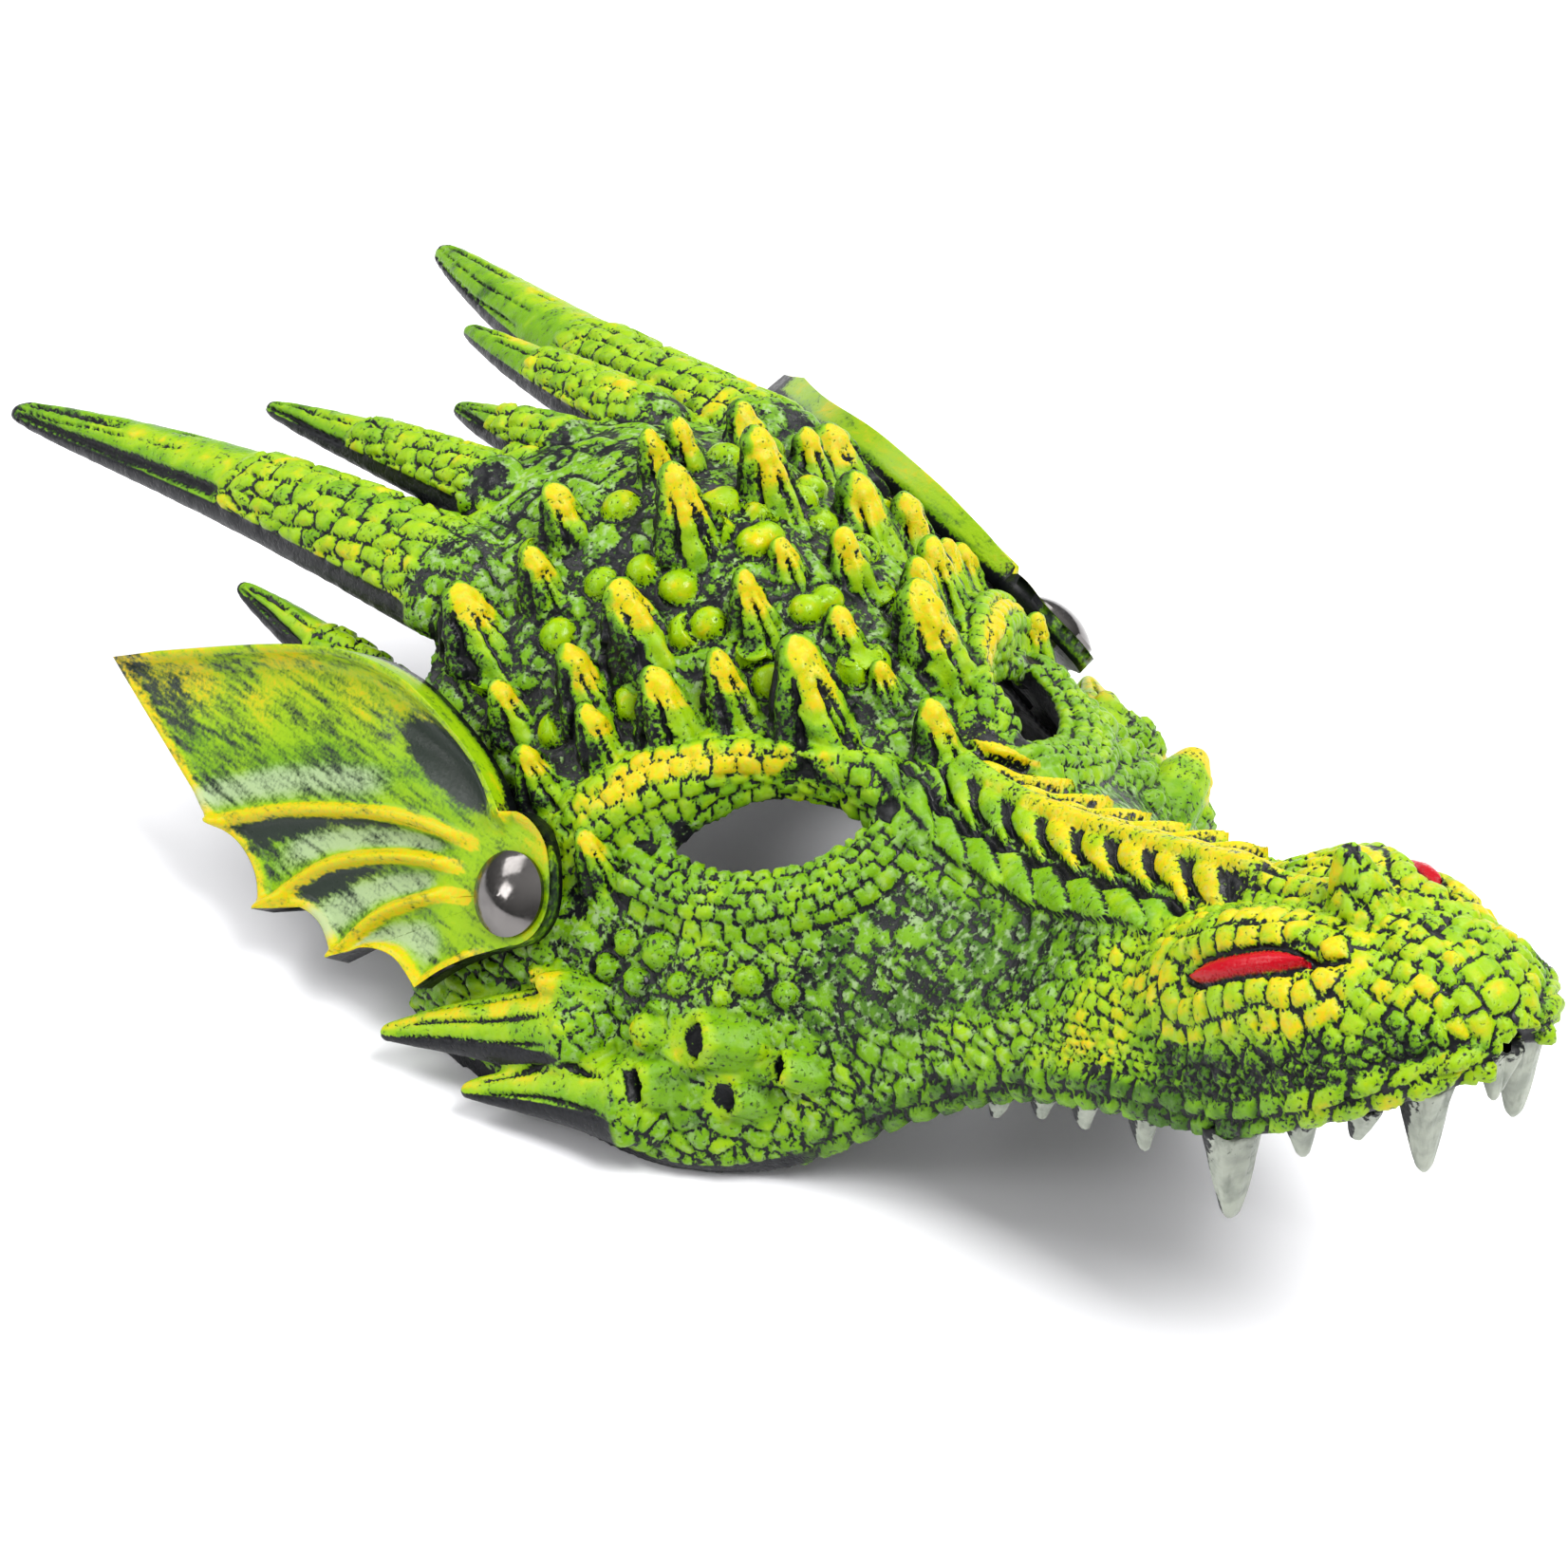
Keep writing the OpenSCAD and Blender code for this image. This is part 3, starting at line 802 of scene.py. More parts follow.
def thorns(relief, p, fine):
    """Paint and flutes of the forehead thorns: a yellow ridge in front, black behind."""
    for k, (foot, tip, size) in enumerate(spike_feet()):
        near = lengths(p - (foot + tip) / 2) < 20 * size
        at, fleck = p[near], fine[near] - 0.5
        high = tip[2] - foot[2] + SUNK
        t = np.clip((at[:, 2] - foot[2] + SUNK) / high, 0, 1)
        middle, wide, front, behind = spike_axis(foot, tip, size, t)
        dx, dy = at[:, 0] - middle[:, 0], at[:, 1] - middle[:, 1]
        reach = np.where(dy < 0, front, behind)
        off = at[:, 2] - skin_z(np.abs(at[:, 0]), at[:, 1])
        w = fall(np.hypot(dx / wide, dy / reach), 1.10, 1.30) * smooth(off, 0.4, 1.6)
        turn = np.abs(np.arctan2(dx / wide, -dy / reach))
        rise = smooth(t, SUNK / high, 1.0)
        ridge = fall(turn + 0.9 * fleck, 0.5 + 0.4 * rise, 0.9 + 0.9 * rise)
        back = smooth(turn, 1.7, 2.6) * fall(rise, 0.8, 1.0)
        flute = np.abs(np.sin(3.5 * turn + 6 * lot(k) + 1.1 * fleck))
        cut = fall(flute, 0.16, 0.5) * fall(rise, 0.5, 0.85)
        shade = 0.9 * cut + 0.85 * back + 0.5 * (1 - ridge) * (1 - 0.6 * rise)
        relief.lay(w, near, height=0.9 * fine[near] - 1.1 * cut, groove=np.clip(shade, 0, 1.1),
                   yellow=0.14 + 0.80 * ridge * (0.35 + 0.65 * smooth(rise, 0.1, 0.6)), pale=0.1, gloss=0.0)


def horn_paint(relief, p, skin_gap, fine):
    """Scaly roots, fluted ends and black undersides of the horns and cheek spikes."""
    for k, (root, tip, r, flat, bow) in enumerate(horn_lines()):
        cheek, toward = 6 <= k <= 9, -1 if root[0] < 0 else 1
        along, side_dir, up_dir = horn_axes(root, tip)
        length = np.linalg.norm(tip - root)
        t = ((p - root) @ along) / length
        lateral = (p - root) @ side_dir - bow * np.sin(np.pi * np.clip(t, 0, 1))
        rise = (p - root) @ up_dir
        radius = np.maximum(r * horn_radius(np.clip(t, 0, 1), r), 0.5)
        inside = np.hypot(lateral, rise / flat) / radius
        turn = np.arctan2(rise / flat, lateral)
        # where the horn's paint lies
        free = smooth(skin_gap, 0.5, 2.5)
        if not cheek:
            free = np.maximum(free, smooth(p[:, 1], 92, 104))
        free = np.maximum(free, smooth(t, 0.25, 0.4))
        first, last = (-0.10, 0.10) if cheek else (-0.02, 0.03)
        w = fall(inside, 1.2, 1.5) * smooth(t, first, last) * (t < 1.04) * free
        # cuts along it
        wander = noise3(np.column_stack([t * length, turn * 4, 0 * t + 9 * k]), 15, 41) - 0.5
        line = np.abs(np.sin((turn + 0.7 * wander) * (4.5 if r > 9 else 3.5)))
        if cheek:
            cuts = fall(line, 0.08, 0.40) * smooth(t, 0.02, 0.2) * fall(t, 0.75, 0.95)
        else:
            broken = noise3(np.column_stack([t * length, turn * 9, 0 * t]), 12, 44)
            cuts = fall(line, 0.06, 0.30) * smooth(broken, 0.25, 0.5)
            outer = lateral / radius * (1 if side_dir[0] * root[0] > 0 else -1)
            for middle, first, last, broad in HORN_STROKES:
                shift = middle - 0.12 * smooth(t, 0.6, 1.0) + 0.05 * np.sin(9 * t + k)
                stroke = bump(outer - shift, broad) * (rise > -0.3 * radius)
                stroke = stroke * smooth(t, first, first + 0.12) * fall(t, last - 0.05, last)
                cuts = np.maximum(cuts, np.clip(1.6 * stroke, 0, 1))
        # scales up to where the ends begin
        ends = 0.0 if cheek else (0.43 if r > 10 else 0.55)
        scaly = fall(t + 0.06 * (noise3(p, 7, 42) - 0.5), ends, ends + 0.05)
        size = 6.2 if r > 10 else 5.0
        round_it = turn * np.maximum(radius, 5) + 50
        dome, gap, tag = scale_rows(t * length + 500, round_it, size, size * 0.75, 0.6, 50 + k)
        streak = bump(turn - (math.pi / 2 - 0.25 * toward), 0.75)
        plain = 0.14 + 0.42 * streak * fall(t, 0.7, 0.95)
        yellow = 0.36 + 0.35 * streak if cheek else scaly * (0.40 + 0.2 * tag) + (1 - scaly) * plain
        relief.lay(w, height=1.1 * (scaly * dome - (1 - scaly) * cuts), yellow=yellow, pale=0.1, gloss=0.0,
                   groove=scaly * gap + (1 - scaly) * cuts * 0.95)
        # bare below the paint line and at a horn's very tip
        paint_line = 0.20 if r > 10 else 0.30
        under = smooth(-(rise / flat) / radius, -paint_line - 0.12, -paint_line + 0.06)
        if not cheek:
            under = np.maximum(under, 0.9 * smooth(t + 0.03 * (fine - 0.5), 0.965, 0.985))
        relief.bare = np.maximum(relief.bare * (1 - w), w * under)


def sculpt(face):
    """Lay the relief and the paint over the casting, and move its points by the relief."""
    p, n = coords_of(face), normals_of(face)
    q = mirrored(p)
    y, a = q[:, 1], across_of(q)
    relief = Relief(len(p))
    skin_gap = p[:, 2] - skin_z(q[:, 0], y)
    fine = noise3(p, 2.2, 22)
    st = station(station_at(y))
    cheek_scales(relief, p, q, a)
    snout_scales(relief, q, a, st)
    forehead_hide(relief, p, q, a)
    eye_rims(relief, q)
    nose_ridge(relief, p, q)
    cheek_marks(relief, p, q)
    nostrils(relief, q)
    thorns(relief, p, fine)
    horn_paint(relief, p, skin_gap, fine)
    # bare foam: the inside, the undersides and the rims
    facing_in = smooth(-np.sum(n * outward(p), axis=1), 0.15, 0.4)
    inner = facing_in * fall(y, 90, 108) * (skin_gap < 1.0)
    below = smooth(-n[:, 2], 0.5, 0.8) * (y < 20) + smooth(-n[:, 2], 0.25, 0.6) * (y >= 20)
    above_edge = q[:, 2] - np.maximum(0, st[:, 3])
    rim = fall(above_edge, 2.8, 4.0) * smooth(a, 80, 86)
    rim = rim * smooth(y, -30, -10) * fall(y, 100, 112)
    relief.bare = np.maximum.reduce([relief.bare, inner, below, rim])
    keep = 1 - relief.bare
    shaped = ear_room(p + n * (relief.height * keep + 0.2 * (fine - 0.5))[:, None])
    shaped[:, 2] = np.maximum(shaped[:, 2], 0.02)
    set_coords(face, shaped)
    for kind in relief.KINDS[1:]:
        set_value(face, kind, getattr(relief, kind) * (keep if kind in ("red", "gloss") else 1))


# ---------------- materials
BLACK_FOAM, BARE_FOAM = (0.004, 0.0045, 0.006, 1), (0.012, 0.013, 0.016, 1)
DEEP_GREEN, LEAF_GREEN = (0.035, 0.11, 0.0005, 1), (0.13, 0.30, 0.0005, 1)
# the whitish green below is partly dry-brush paint and partly painted sheen, standing in for soft highlights
LIME, PALE_AND_SHEEN = (0.24, 0.41, 0.0005, 1), (0.34, 0.44, 0.25, 1)
YELLOW, ORANGE_YELLOW = (0.48, 0.47, 0.001, 1), (0.58, 0.40, 0.001, 1)
RED, DARK_FIN = (0.42, 0.002, 0.010, 1), (0.018, 0.028, 0.020, 1)
SHINE = 0.22


class Nodes:
    """Short names for building a material's nodes."""

    def __init__(self, name):
        self.material = bpy.data.materials.new(name)
        self.material.use_nodes = True
        self.tree = self.material.node_tree
        self.shader = self.tree.nodes["Principled BSDF"]
        self.put(self.shader, {"Specular IOR Level": SHINE})
        self.where = self.node("ShaderNodeTexCoord").outputs["Object"]

    def put(self, node, sockets):
        """Link or set a node's sockets."""
        for key, value in sockets.items():
            if hasattr(value, "links"):
                self.tree.links.new(value, node.inputs[key])
            else:
                node.inputs[key].default_value = value
        return node

    def node(self, kind, sockets=None, **settings):
        n = self.tree.nodes.new(kind)
        for key, value in settings.items():
            setattr(n, key, value)
        return self.put(n, sockets or {})

    def values(self, *names):
        """The mesh's own values of these names."""
        return [self.node("ShaderNodeAttribute", attribute_name=k).outputs["Fac"] for k in names]

    def noise(self, size_mm, detail=3.0, stretch=None):
        where = self.where
        if stretch:
            where = self.node("ShaderNodeMapping", {"Vector": where, "Scale": stretch}).outputs["Vector"]
        sockets = {"Vector": where, "Scale": 1000.0 / size_mm, "Detail": detail}
        return self.node("ShaderNodeTexNoise", sockets).outputs["Fac"]

    def math(self, how, a, b=0.0, c=0.0):
        return self.node("ShaderNodeMath", {0: a, 1: b, 2: c}, operation=how).outputs[0]

    def madd(self, a, by, plus):
        """a * by + plus."""
        return self.math("MULTIPLY_ADD", a, by, plus)

    def centred(self, a):
        return self.math("SUBTRACT", a, 0.5)

    def ramp(self, x, lo, hi, out_lo=0.0, out_hi=1.0):
        sockets = {"Value": x, "From Min": lo, "From Max": hi, "To Min": out_lo, "To Max": out_hi}
        n = self.node("ShaderNodeMapRange", sockets, interpolation_type="SMOOTHSTEP")
        return n.outputs["Result"]

    def mix(self, factor, a, b):
        return self.node("ShaderNodeMix", {0: factor, 6: a, 7: b}, data_type="RGBA").outputs[2]

    def surface(self, colour, rough, height, strength, depth_mm):
        """Give the shader its colour, roughness and fine relief; returns the material."""
        sockets = {"Height": height, "Strength": strength, "Distance": depth_mm * MM}
        relief = self.node("ShaderNodeBump", sockets).outputs["Normal"]
        self.put(self.shader, {"Base Color": colour, "Roughness": rough, "Normal": relief})
        return self.material


def painted_foam():
    m = Nodes("painted_foam")
    groove, yellow, bare, red, pale, gloss = m.values("groove", "yellow", "bare", "red", "pale", "gloss")
    speck, cloud, patch = m.noise(0.8, 5), m.noise(5.0, 3), m.noise(24.0, 2)
    fleck, drift, broad = (m.centred(v) for v in (speck, cloud, patch))
    # the dry brush catches what stands out and skips the grooves
    cover = m.madd(groove, -1.05, m.madd(fleck, 2.7, 0.96))
    cover = m.ramp(m.madd(drift, 0.9, cover), 0.28, 0.70)
    shade = m.madd(broad, 0.55, m.madd(drift, 1.1, yellow))
    shade = m.madd(groove, -0.4, m.math("SUBTRACT", shade, 0.01))
    # whitish dry brushing mixed with painted sheen, a whitish green standing in for highlights
    pale_and_sheen_mix = m.math("MULTIPLY", pale, m.ramp(m.noise(1.5, 4), 0.48, 0.68, 0.0, 0.6))
    colour = m.mix(cover, BLACK_FOAM, green_paint(m, shade, speck, pale_and_sheen_mix))
    foam = m.mix(m.ramp(speck, 0.35, 0.75), BLACK_FOAM, BARE_FOAM)
    colour = m.mix(m.ramp(m.madd(drift, 0.5, bare), 0.35, 0.65), colour, foam)
    colour = m.mix(m.ramp(red, 0.3, 0.7), colour, RED)
    dull = m.ramp(m.madd(cloud, 0.5, speck), 0.5, 1.0, 0.28, 0.55)
    rough = m.madd(m.math("MULTIPLY", gloss, dull), -0.6, dull)
    return m.surface(colour, rough, m.madd(cover, 0.6, speck), 0.5, 0.25)


def green_paint(m, shade, speck, pale_and_sheen_mix):
    """Dark green through leaf green and lime to yellow, with whitish dry brushing mixed with painted sheen.
    """
    colour = m.mix(m.ramp(shade, -0.15, 0.18), DEEP_GREEN, LEAF_GREEN)
    colour = m.mix(m.ramp(shade, 0.20, 0.50), colour, LIME)
    gold = m.mix(m.ramp(speck, 0.42, 0.62), YELLOW, ORANGE_YELLOW)
    colour = m.mix(m.ramp(shade, 0.50, 0.82), colour, gold)
    return m.mix(pale_and_sheen_mix, colour, PALE_AND_SHEEN)


def painted_fin():
    """The ears: the same paint, laid along the fin in fine brush streaks."""
    m = Nodes("painted_fin")
    groove, yellow, bare, pale = m.values("groove", "yellow", "bare", "pale")
    streak, speck, cloud = m.noise(1.3, 4, (1, 0.14, 1)), m.noise(0.7, 4), m.noise(9.0, 3, (1, 0.5, 1))
    fleck, drift = m.centred(speck), m.centred(cloud)
    brush = m.madd(m.centred(streak), 1.6, fleck)
    cover = m.madd(groove, -1.1, m.madd(brush, 0.9, 1.0))
    cover = m.ramp(m.madd(drift, 0.9, cover), 0.30, 0.95)
    shade = m.madd(drift, 0.9, m.madd(brush, 0.25, yellow))
    # whitish brush streaks mixed with painted sheen, a whitish green standing in for highlights on the fin
    pale_and_sheen_mix = m.ramp(m.madd(brush, 0.45, pale), 0.25, 0.95, 0.0, 0.85)
    colour = m.mix(cover, DARK_FIN, green_paint(m, shade, speck, pale_and_sheen_mix))
    colour = m.mix(m.ramp(m.madd(fleck, 0.8, bare), 0.35, 0.6), colour, BLACK_FOAM)
    rough = m.ramp(m.madd(streak, 0.6, speck), 0.5, 1.1, 0.26, 0.46)
    return m.surface(colour, rough, m.madd(streak, 0.7, speck), 0.35, 0.2)


# ---------------- ears
# Outlines and ribs are flat, [up, back] from the rivet.
RIVET_AT, RIVET_TILT, RIVET_TURN = np.array([-59.0, 42.0, 32.5]), math.radians(-56), math.radians(7)
EAR_LOW, EAR_T, POST_R, HUB_R = 2.8, 3.5, 2.05, 8.2
EAR_TOP = [(12, 8), (17, 15), (21, 25), (24, 39), (22.5, 54), (15.5, 72.5), (-1, 104.5)]
EAR_BACK = [(-1, 104.5), (-8, 91), (-14, 79), (-18.5, 69)]
EAR_SCALLOPS = [
    [(-18.5, 69), (-19, 62), (-22.5, 55.5), (-27.5, 51)],
    [(-27.5, 51), (-23.5, 45), (-23.5, 38), (-27.5, 31)],
    [(-27.5, 31), (-22.5, 25), (-21, 18), (-23.5, 11)],
    [(-23.5, 11), (-18, 7), (-12, 1), (-8, -4)]]
EAR_RIBS = [
    [(4, 12), (1, 30), (-8, 52), (-18.5, 69)],
    [(-1, 13), (-5, 26), (-14, 41), (-27.5, 51)],
    [(-5, 9), (-7.5, 15), (-16.5, 25.5), (-27.5, 31)]]

def rivet_frame():
    """Columns: up along the ear's width, back along its length, out of the temple."""
    c, s = math.cos(RIVET_TILT), math.sin(RIVET_TILT)
    ct, st = math.cos(RIVET_TURN), math.sin(RIVET_TURN)
    return np.array([[ct * c, -st, ct * s], [st * c, ct, st * s], [-s, 0, c]])


def flat_path(p, path):
    return near_path(np.column_stack([p, np.zeros(len(p))]), [(a, b, 0) for a, b in path])


def ear_edge():
    """The fin's outline as angle about the rivet and radius."""
    parts = [curve(part, 30) for part in [EAR_TOP, EAR_BACK] + EAR_SCALLOPS]
    line = np.concatenate([part[k > 0:] for k, part in enumerate(parts)])
    angle = np.unwrap(np.arctan2(line[:, 1], line[:, 0]))
    radius = np.hypot(line[:, 0], line[:, 1])
    closing = np.linspace(angle[-1], angle[0] + 2 * math.pi, 30)[1:-1]
    ease = np.cos(np.linspace(0, math.pi, 28)) * 0.5 + 0.5
    front = HUB_R + (radius[-1] - HUB_R) * ease ** 3 + (radius[0] - HUB_R) * (1 - ease) ** 5
    return np.concatenate([angle, closing]), np.concatenate([radius, front])


def ear_spread(v, top):
    """How far the black edge under the fin stands out from its painted lip."""
    return 3.6 * (1 - top) * smooth(v, 24, 36) * (1 - 0.7 * smooth(v, 62, 76))


def ear_bend(v):
    return 0.0006 * np.maximum(v - 30, 0) ** 2


def ear_room(p):
    """Points of the face held back from the space the ears swing through."""
    side = np.where(p[:, :1] > 0, [[-1, 1, 1]], [[1, 1, 1]])
    local = (p * side - RIVET_AT) @ rivet_frame()
    r, angle = np.hypot(local[:, 0], local[:, 1]), np.arctan2(local[:, 1], local[:, 0])
    line_angle, line_radius = ear_edge()
    line_radius = line_radius + ear_spread(line_radius * np.sin(line_angle), 0)
    reach = np.full(len(p), HUB_R + 1.1)
    for swing in np.radians([-8, -6, -4, -2, 0, 1, 2, 3, 4]):
        reach = np.maximum(reach, np.interp(angle + swing, line_angle, line_radius, period=2 * math.pi))
    top = EAR_LOW - 0.45 + ear_bend(local[:, 1])
    inside = fall(r - reach, 0.5, 1.4) * (local[:, 2] > -6)
    local[:, 2] -= inside * np.maximum(local[:, 2] - top, 0)
    return (RIVET_AT + local @ rivet_frame().T) * side


def ear_relief(u, v, edge_gap, along_top):
    """Height over the flat fin and the paint, at points u up and v back from the rivet."""
    p, r = np.column_stack([u, v]), np.hypot(u, v)
    free = smooth(r, 8.5, 14)
    out = Relief(len(u), groove=0.20, yellow=0.34)
    ribs = [flat_path(p, curve(rib, 24)) for rib in EAR_RIBS]
    blot = noise3(np.column_stack([u, v * 0.35, 0 * u]), 9, 71)
    dish = bump(np.hypot((u - 14.5 - 0.12 * (v - 26)) / 7.5, (v - 24) / 19), 1.0)
    upper = smooth(-ribs[0][2], 2, 9)
    out.height -= 2.7 * dish + 1.0 * bump((v - 75) / 30, 1.0) * upper
    out.yellow += 0.34 * upper * smooth(u + 0.3 * (v - 60), -4, 12) - 0.12 * upper * smooth(blot, 0.4, 0.7)
    out.groove += 0.85 * smooth(dish, 0.05, 0.9) * (0.5 + 0.9 * blot)
    out.groove += 0.35 * upper * smooth(v, 78, 92) * smooth(-u, -6, 4)
    sheen = bump(ribs[0][0] - 5.5, 5.5) * (ribs[0][2] < 0)
    out.pale += 0.9 * sheen * smooth(v, 28, 42) * fall(v, 72, 84)
    for k, (d, _, side) in enumerate(ribs):
        d_next = ribs[k + 1][0] if k < 2 else edge_gap
        f = d / np.maximum(d + d_next, 1e-3)
        lane = (side > 0) * (side < 17 if k == 2 else ribs[k + 1][2] < 0) * smooth(r, 14, 22)
        out.height -= lane * 1.3 * np.sin(math.pi * np.clip(f, 0, 1)) * free
        # the middle of each scallop is made whitish: dry brushing and painted sheen
        out.pale = np.maximum(out.pale, lane * bump(f - 0.55, 0.42) * fall(r, 48, 62))
        out.groove += lane * 0.75 * bump(f - 0.16, 0.26) * smooth(r, 24, 40)
    for d, _, _ in ribs:
        out.height += 1.7 * fall(d, 0.2, 2.0) * smooth(r, 12, 20)
        out.lay(fall(d, 0.9, 1.9), yellow=0.95, groove=0.05, pale=0.1)
    hub = fall(r, 15, 26)
    out.yellow = np.maximum(out.yellow, 0.44 * hub)
    out.groove *= 1 - 0.6 * hub * (dish < 0.1)
    lip = fall(edge_gap, 0.8, 2.2) * free
    out.height += 1.1 * lip * free + 2.6 * along_top * fall(edge_gap, 0.5, 4.5) * free
    out.lay(lip, yellow=np.where(along_top > 0.5, 0.62, 0.9), groove=0.08)
    out.groove += 0.45 * smooth(v, 97, 103)
    out.height *= free
    return out


def ear(side):
    """One fin: its face and back as grids round the post's hole, joined by a black edge."""
    ring_angle, ring_radius = ear_edge()
    n, m = 64, len(ring_angle)
    rho = np.linspace(0, 1, n) ** 0.85
    radius = POST_R + (ring_radius[None] - POST_R) * rho[:, None]
    u, v = radius * np.cos(ring_angle), radius * np.sin(ring_angle)
    flat_u, flat_v = u.ravel(), v.ravel()
    edge = np.column_stack([u[-1], v[-1]])[::3]
    edge_gap = flat_path(np.column_stack([flat_u, flat_v]), edge)[0]
    top = smooth(ring_angle, 0.45, 0.75) * fall(ring_angle, 1.52, 1.58)
    along_top = np.broadcast_to(top, (n, m)).ravel()
    look = ear_relief(flat_u, flat_v, edge_gap, along_top)
    bend = ear_bend(flat_v)
    upper = np.column_stack([flat_u, flat_v, EAR_LOW + EAR_T + look.height + bend])
    skirt = 3.4 * fall(edge_gap, 1, 7) * (1 - along_top) * smooth(flat_v, 24, 34)
    spread = 1 + smooth(rho, 0.8, 1)[:, None] * ear_spread(v, top) / radius
    lower = np.column_stack([flat_u * spread.ravel(), flat_v * spread.ravel(), EAR_LOW + bend - skirt])
    # a black band spreads out under the painted lip
    last = slice((n - 1) * m, n * m)
    rings = [upper[last] * (1 - f) + lower[last] * f + [0, 0, 0.5] for f in (0.10, 0.55)]
    points = np.concatenate([upper] + rings + [lower])
    idx = np.arange(n * m).reshape(n, m)
    side_rows = [idx[-1], n * m + np.arange(m), (n + 1) * m + np.arange(m), (n + 2) * m + idx[-1]]
    low = idx + (n + 2) * m
    faces = np.concatenate([
        np.stack([a, b, np.roll(b, -1), np.roll(a, -1)], -1)
        for rows in (idx, side_rows, low[::-1], [low[0], idx[0]])
        for a, b in zip(rows[:-1], rows[1:])])
    where = RIVET_AT + points @ rivet_frame().T
    if side > 0:
        where, faces = where * [-1, 1, 1], faces[:, ::-1]
    obj = new_object("ear_fin_right" if side < 0 else "ear_fin_left", where, faces)
    hub_wall = np.tile(fall(ring_radius, 9, 13), 2)
    band = {"groove": 0.5 * hub_wall, "yellow": 0.5 - 0.35 * hub_wall, "pale": 0 * hub_wall}
    for kind in band:
        set_value(obj, kind, np.concatenate([getattr(look, kind), band[kind], np.zeros(n * m)]))
    band_bare = np.tile(1 - top, 2) * (1 - hub_wall)
    set_value(obj, "bare", np.concatenate([np.zeros(n * m), band_bare, np.ones(n * m)]))
    return obj


# ---------------- teeth
FANG = 19.0
# [y on the lip, length over the fang's, root radius]
TEETH = [
    (-46, 0.3, 2.2), (-55, 0.35, 2.6), (-64, 0.4, 2.8), (-76, 0.5, 3), (-92, 1, 5), (-103, 0.4, 3),
    (-111, 0.4, 2.8), (-119, 0.95, 4.5), (-124.5, 0.5, 2.5)]


def tooth(side, k, y, length, r):
    """One lumpy tooth's points, faces and dark marks: cracks, roots and tip, and a dark far side that is
    partly unpainted back and partly painted shade.
    """
    root = skin(station_at(y), 90 * side, 2.5) + [0, 0, 1.5]
    tip = root - np.array([0, 0.05, 0.99]) * (length * FANG + 0.5)
    ang = around(28)
    turn = 6.28 * lot(k, side + 3)
    back = 0.77 * side * np.cos(ang) + 0.63 * np.sin(ang)
    crack = fall(np.abs(np.sin(1.5 * ang + turn)), 0.05, 0.3) * 0.6
    rings, marks = [], []
    for t in np.concatenate([np.linspace(0, 0.9, 16), [0.94, 0.97, 0.99]]):
        rr = (r * (1 - t) ** 0.8 + 0.16 * r + 0.35) / 1.16 * blunt(t, 0.9, 0.04)
        lump = 1 + 0.07 * np.cos(3 * ang + turn) + 0.05 * np.cos(7 * ang + 2 * turn + 4 * t)
        middle = root + (tip - root) * t + [0, 0.5 * math.sin(3 * t + turn), 0]
        across = np.column_stack([0.9 * np.cos(ang) * lump, np.sin(ang) * lump, 0 * ang])
        rings.append(middle + rr * across)
        worn = (0.2 if length > 0.9 else 0.6) * smooth(0.40 - t, 0, 0.34)
        worn = worn + 0.5 * crack * smooth(0.75 - t, 0, 0.4)
        # the far side, turned back and outward, is darkened: partly unpainted back, partly painted shade
        dark = smooth(back + 0.2 * math.sin(5 * t + turn), 0.68, 0.88) * (t < 0.97)
        marks.append(np.clip(np.maximum(worn, 0.95 * dark) + 0.4 * smooth(t, 0.93, 1.0), 0, 1))
    return *tube_solid(rings), np.concatenate(marks + [[1, 0.6]])


def teeth():
    verts, faces, stain_and_shade, start = [], [], [], 0
    for side in (-1, 1):
        for k, shape in enumerate(TEETH):
            v, f, marks = tooth(side, k, *shape)
            verts.append(v)
            faces += [[start + i for i in corners] for corners in f]
            stain_and_shade.append(marks)
            start += len(v)
    obj = new_object("fangs", np.concatenate(verts), faces)
    # this value holds the teeth's dark marks, with the far side's painted shade
    set_value(obj, "groove", np.concatenate(stain_and_shade))
    return obj


def tooth_material():
    m = Nodes("tooth_paint")
    stain_and_shade, = m.values("groove")
    speck, cloud, long = m.noise(0.8, 4), m.noise(4.0, 3), m.noise(1.6, 3, (1, 1, 0.25))
    colour = m.mix(m.ramp(cloud, 0.35, 0.7), (0.36, 0.385, 0.32, 1), (0.24, 0.265, 0.22, 1))
    colour = m.mix(m.ramp(long, 0.52, 0.72, 0.0, 0.7), colour, (0.17, 0.19, 0.155, 1))
    # the dark marks include the far side's painted shade
    worn = m.madd(m.centred(speck), 1.8, m.madd(cloud, 0.5, m.math("SUBTRACT", stain_and_shade, 0.2)))
    colour = m.mix(m.ramp(worn, 0.45, 0.75), colour, (0.012, 0.013, 0.014, 1))
    return m.surface(colour, m.ramp(speck, 0.3, 0.7, 0.38, 0.6), m.math("ADD", speck, long), 0.6, 0.25)


# ---------------- rivets and strap
def metal(name, colour, rough):
    m = Nodes(name)
    m.put(m.shader, {"Metallic": 1.0})
    cloud, scratch = m.noise(7.0, 3), m.noise(0.5, 3, (0.12, 1, 1))
    dark = tuple(0.7 * c for c in colour[:3]) + (1,)
    worn = m.ramp(m.math("ADD", cloud, scratch), 0.8, 1.3, rough, rough + 0.14)
    return m.surface(m.mix(m.ramp(cloud, 0.4, 0.7), colour, dark), worn, scratch, 0.08, 0.05)


def plastic():
    m = Nodes("washer_plastic")
    cloud, speck = m.noise(3.0, 3), m.noise(0.6, 3)
    colour = m.mix(m.ramp(cloud, 0.4, 0.65), (0.016, 0.016, 0.018, 1), (0.03, 0.03, 0.032, 1))
    return m.surface(colour, m.ramp(speck, 0.3, 0.7, 0.4, 0.55), speck, 0.2, 0.08)


STRAP_WIDE, STRAP_T = 18.0, 1.2


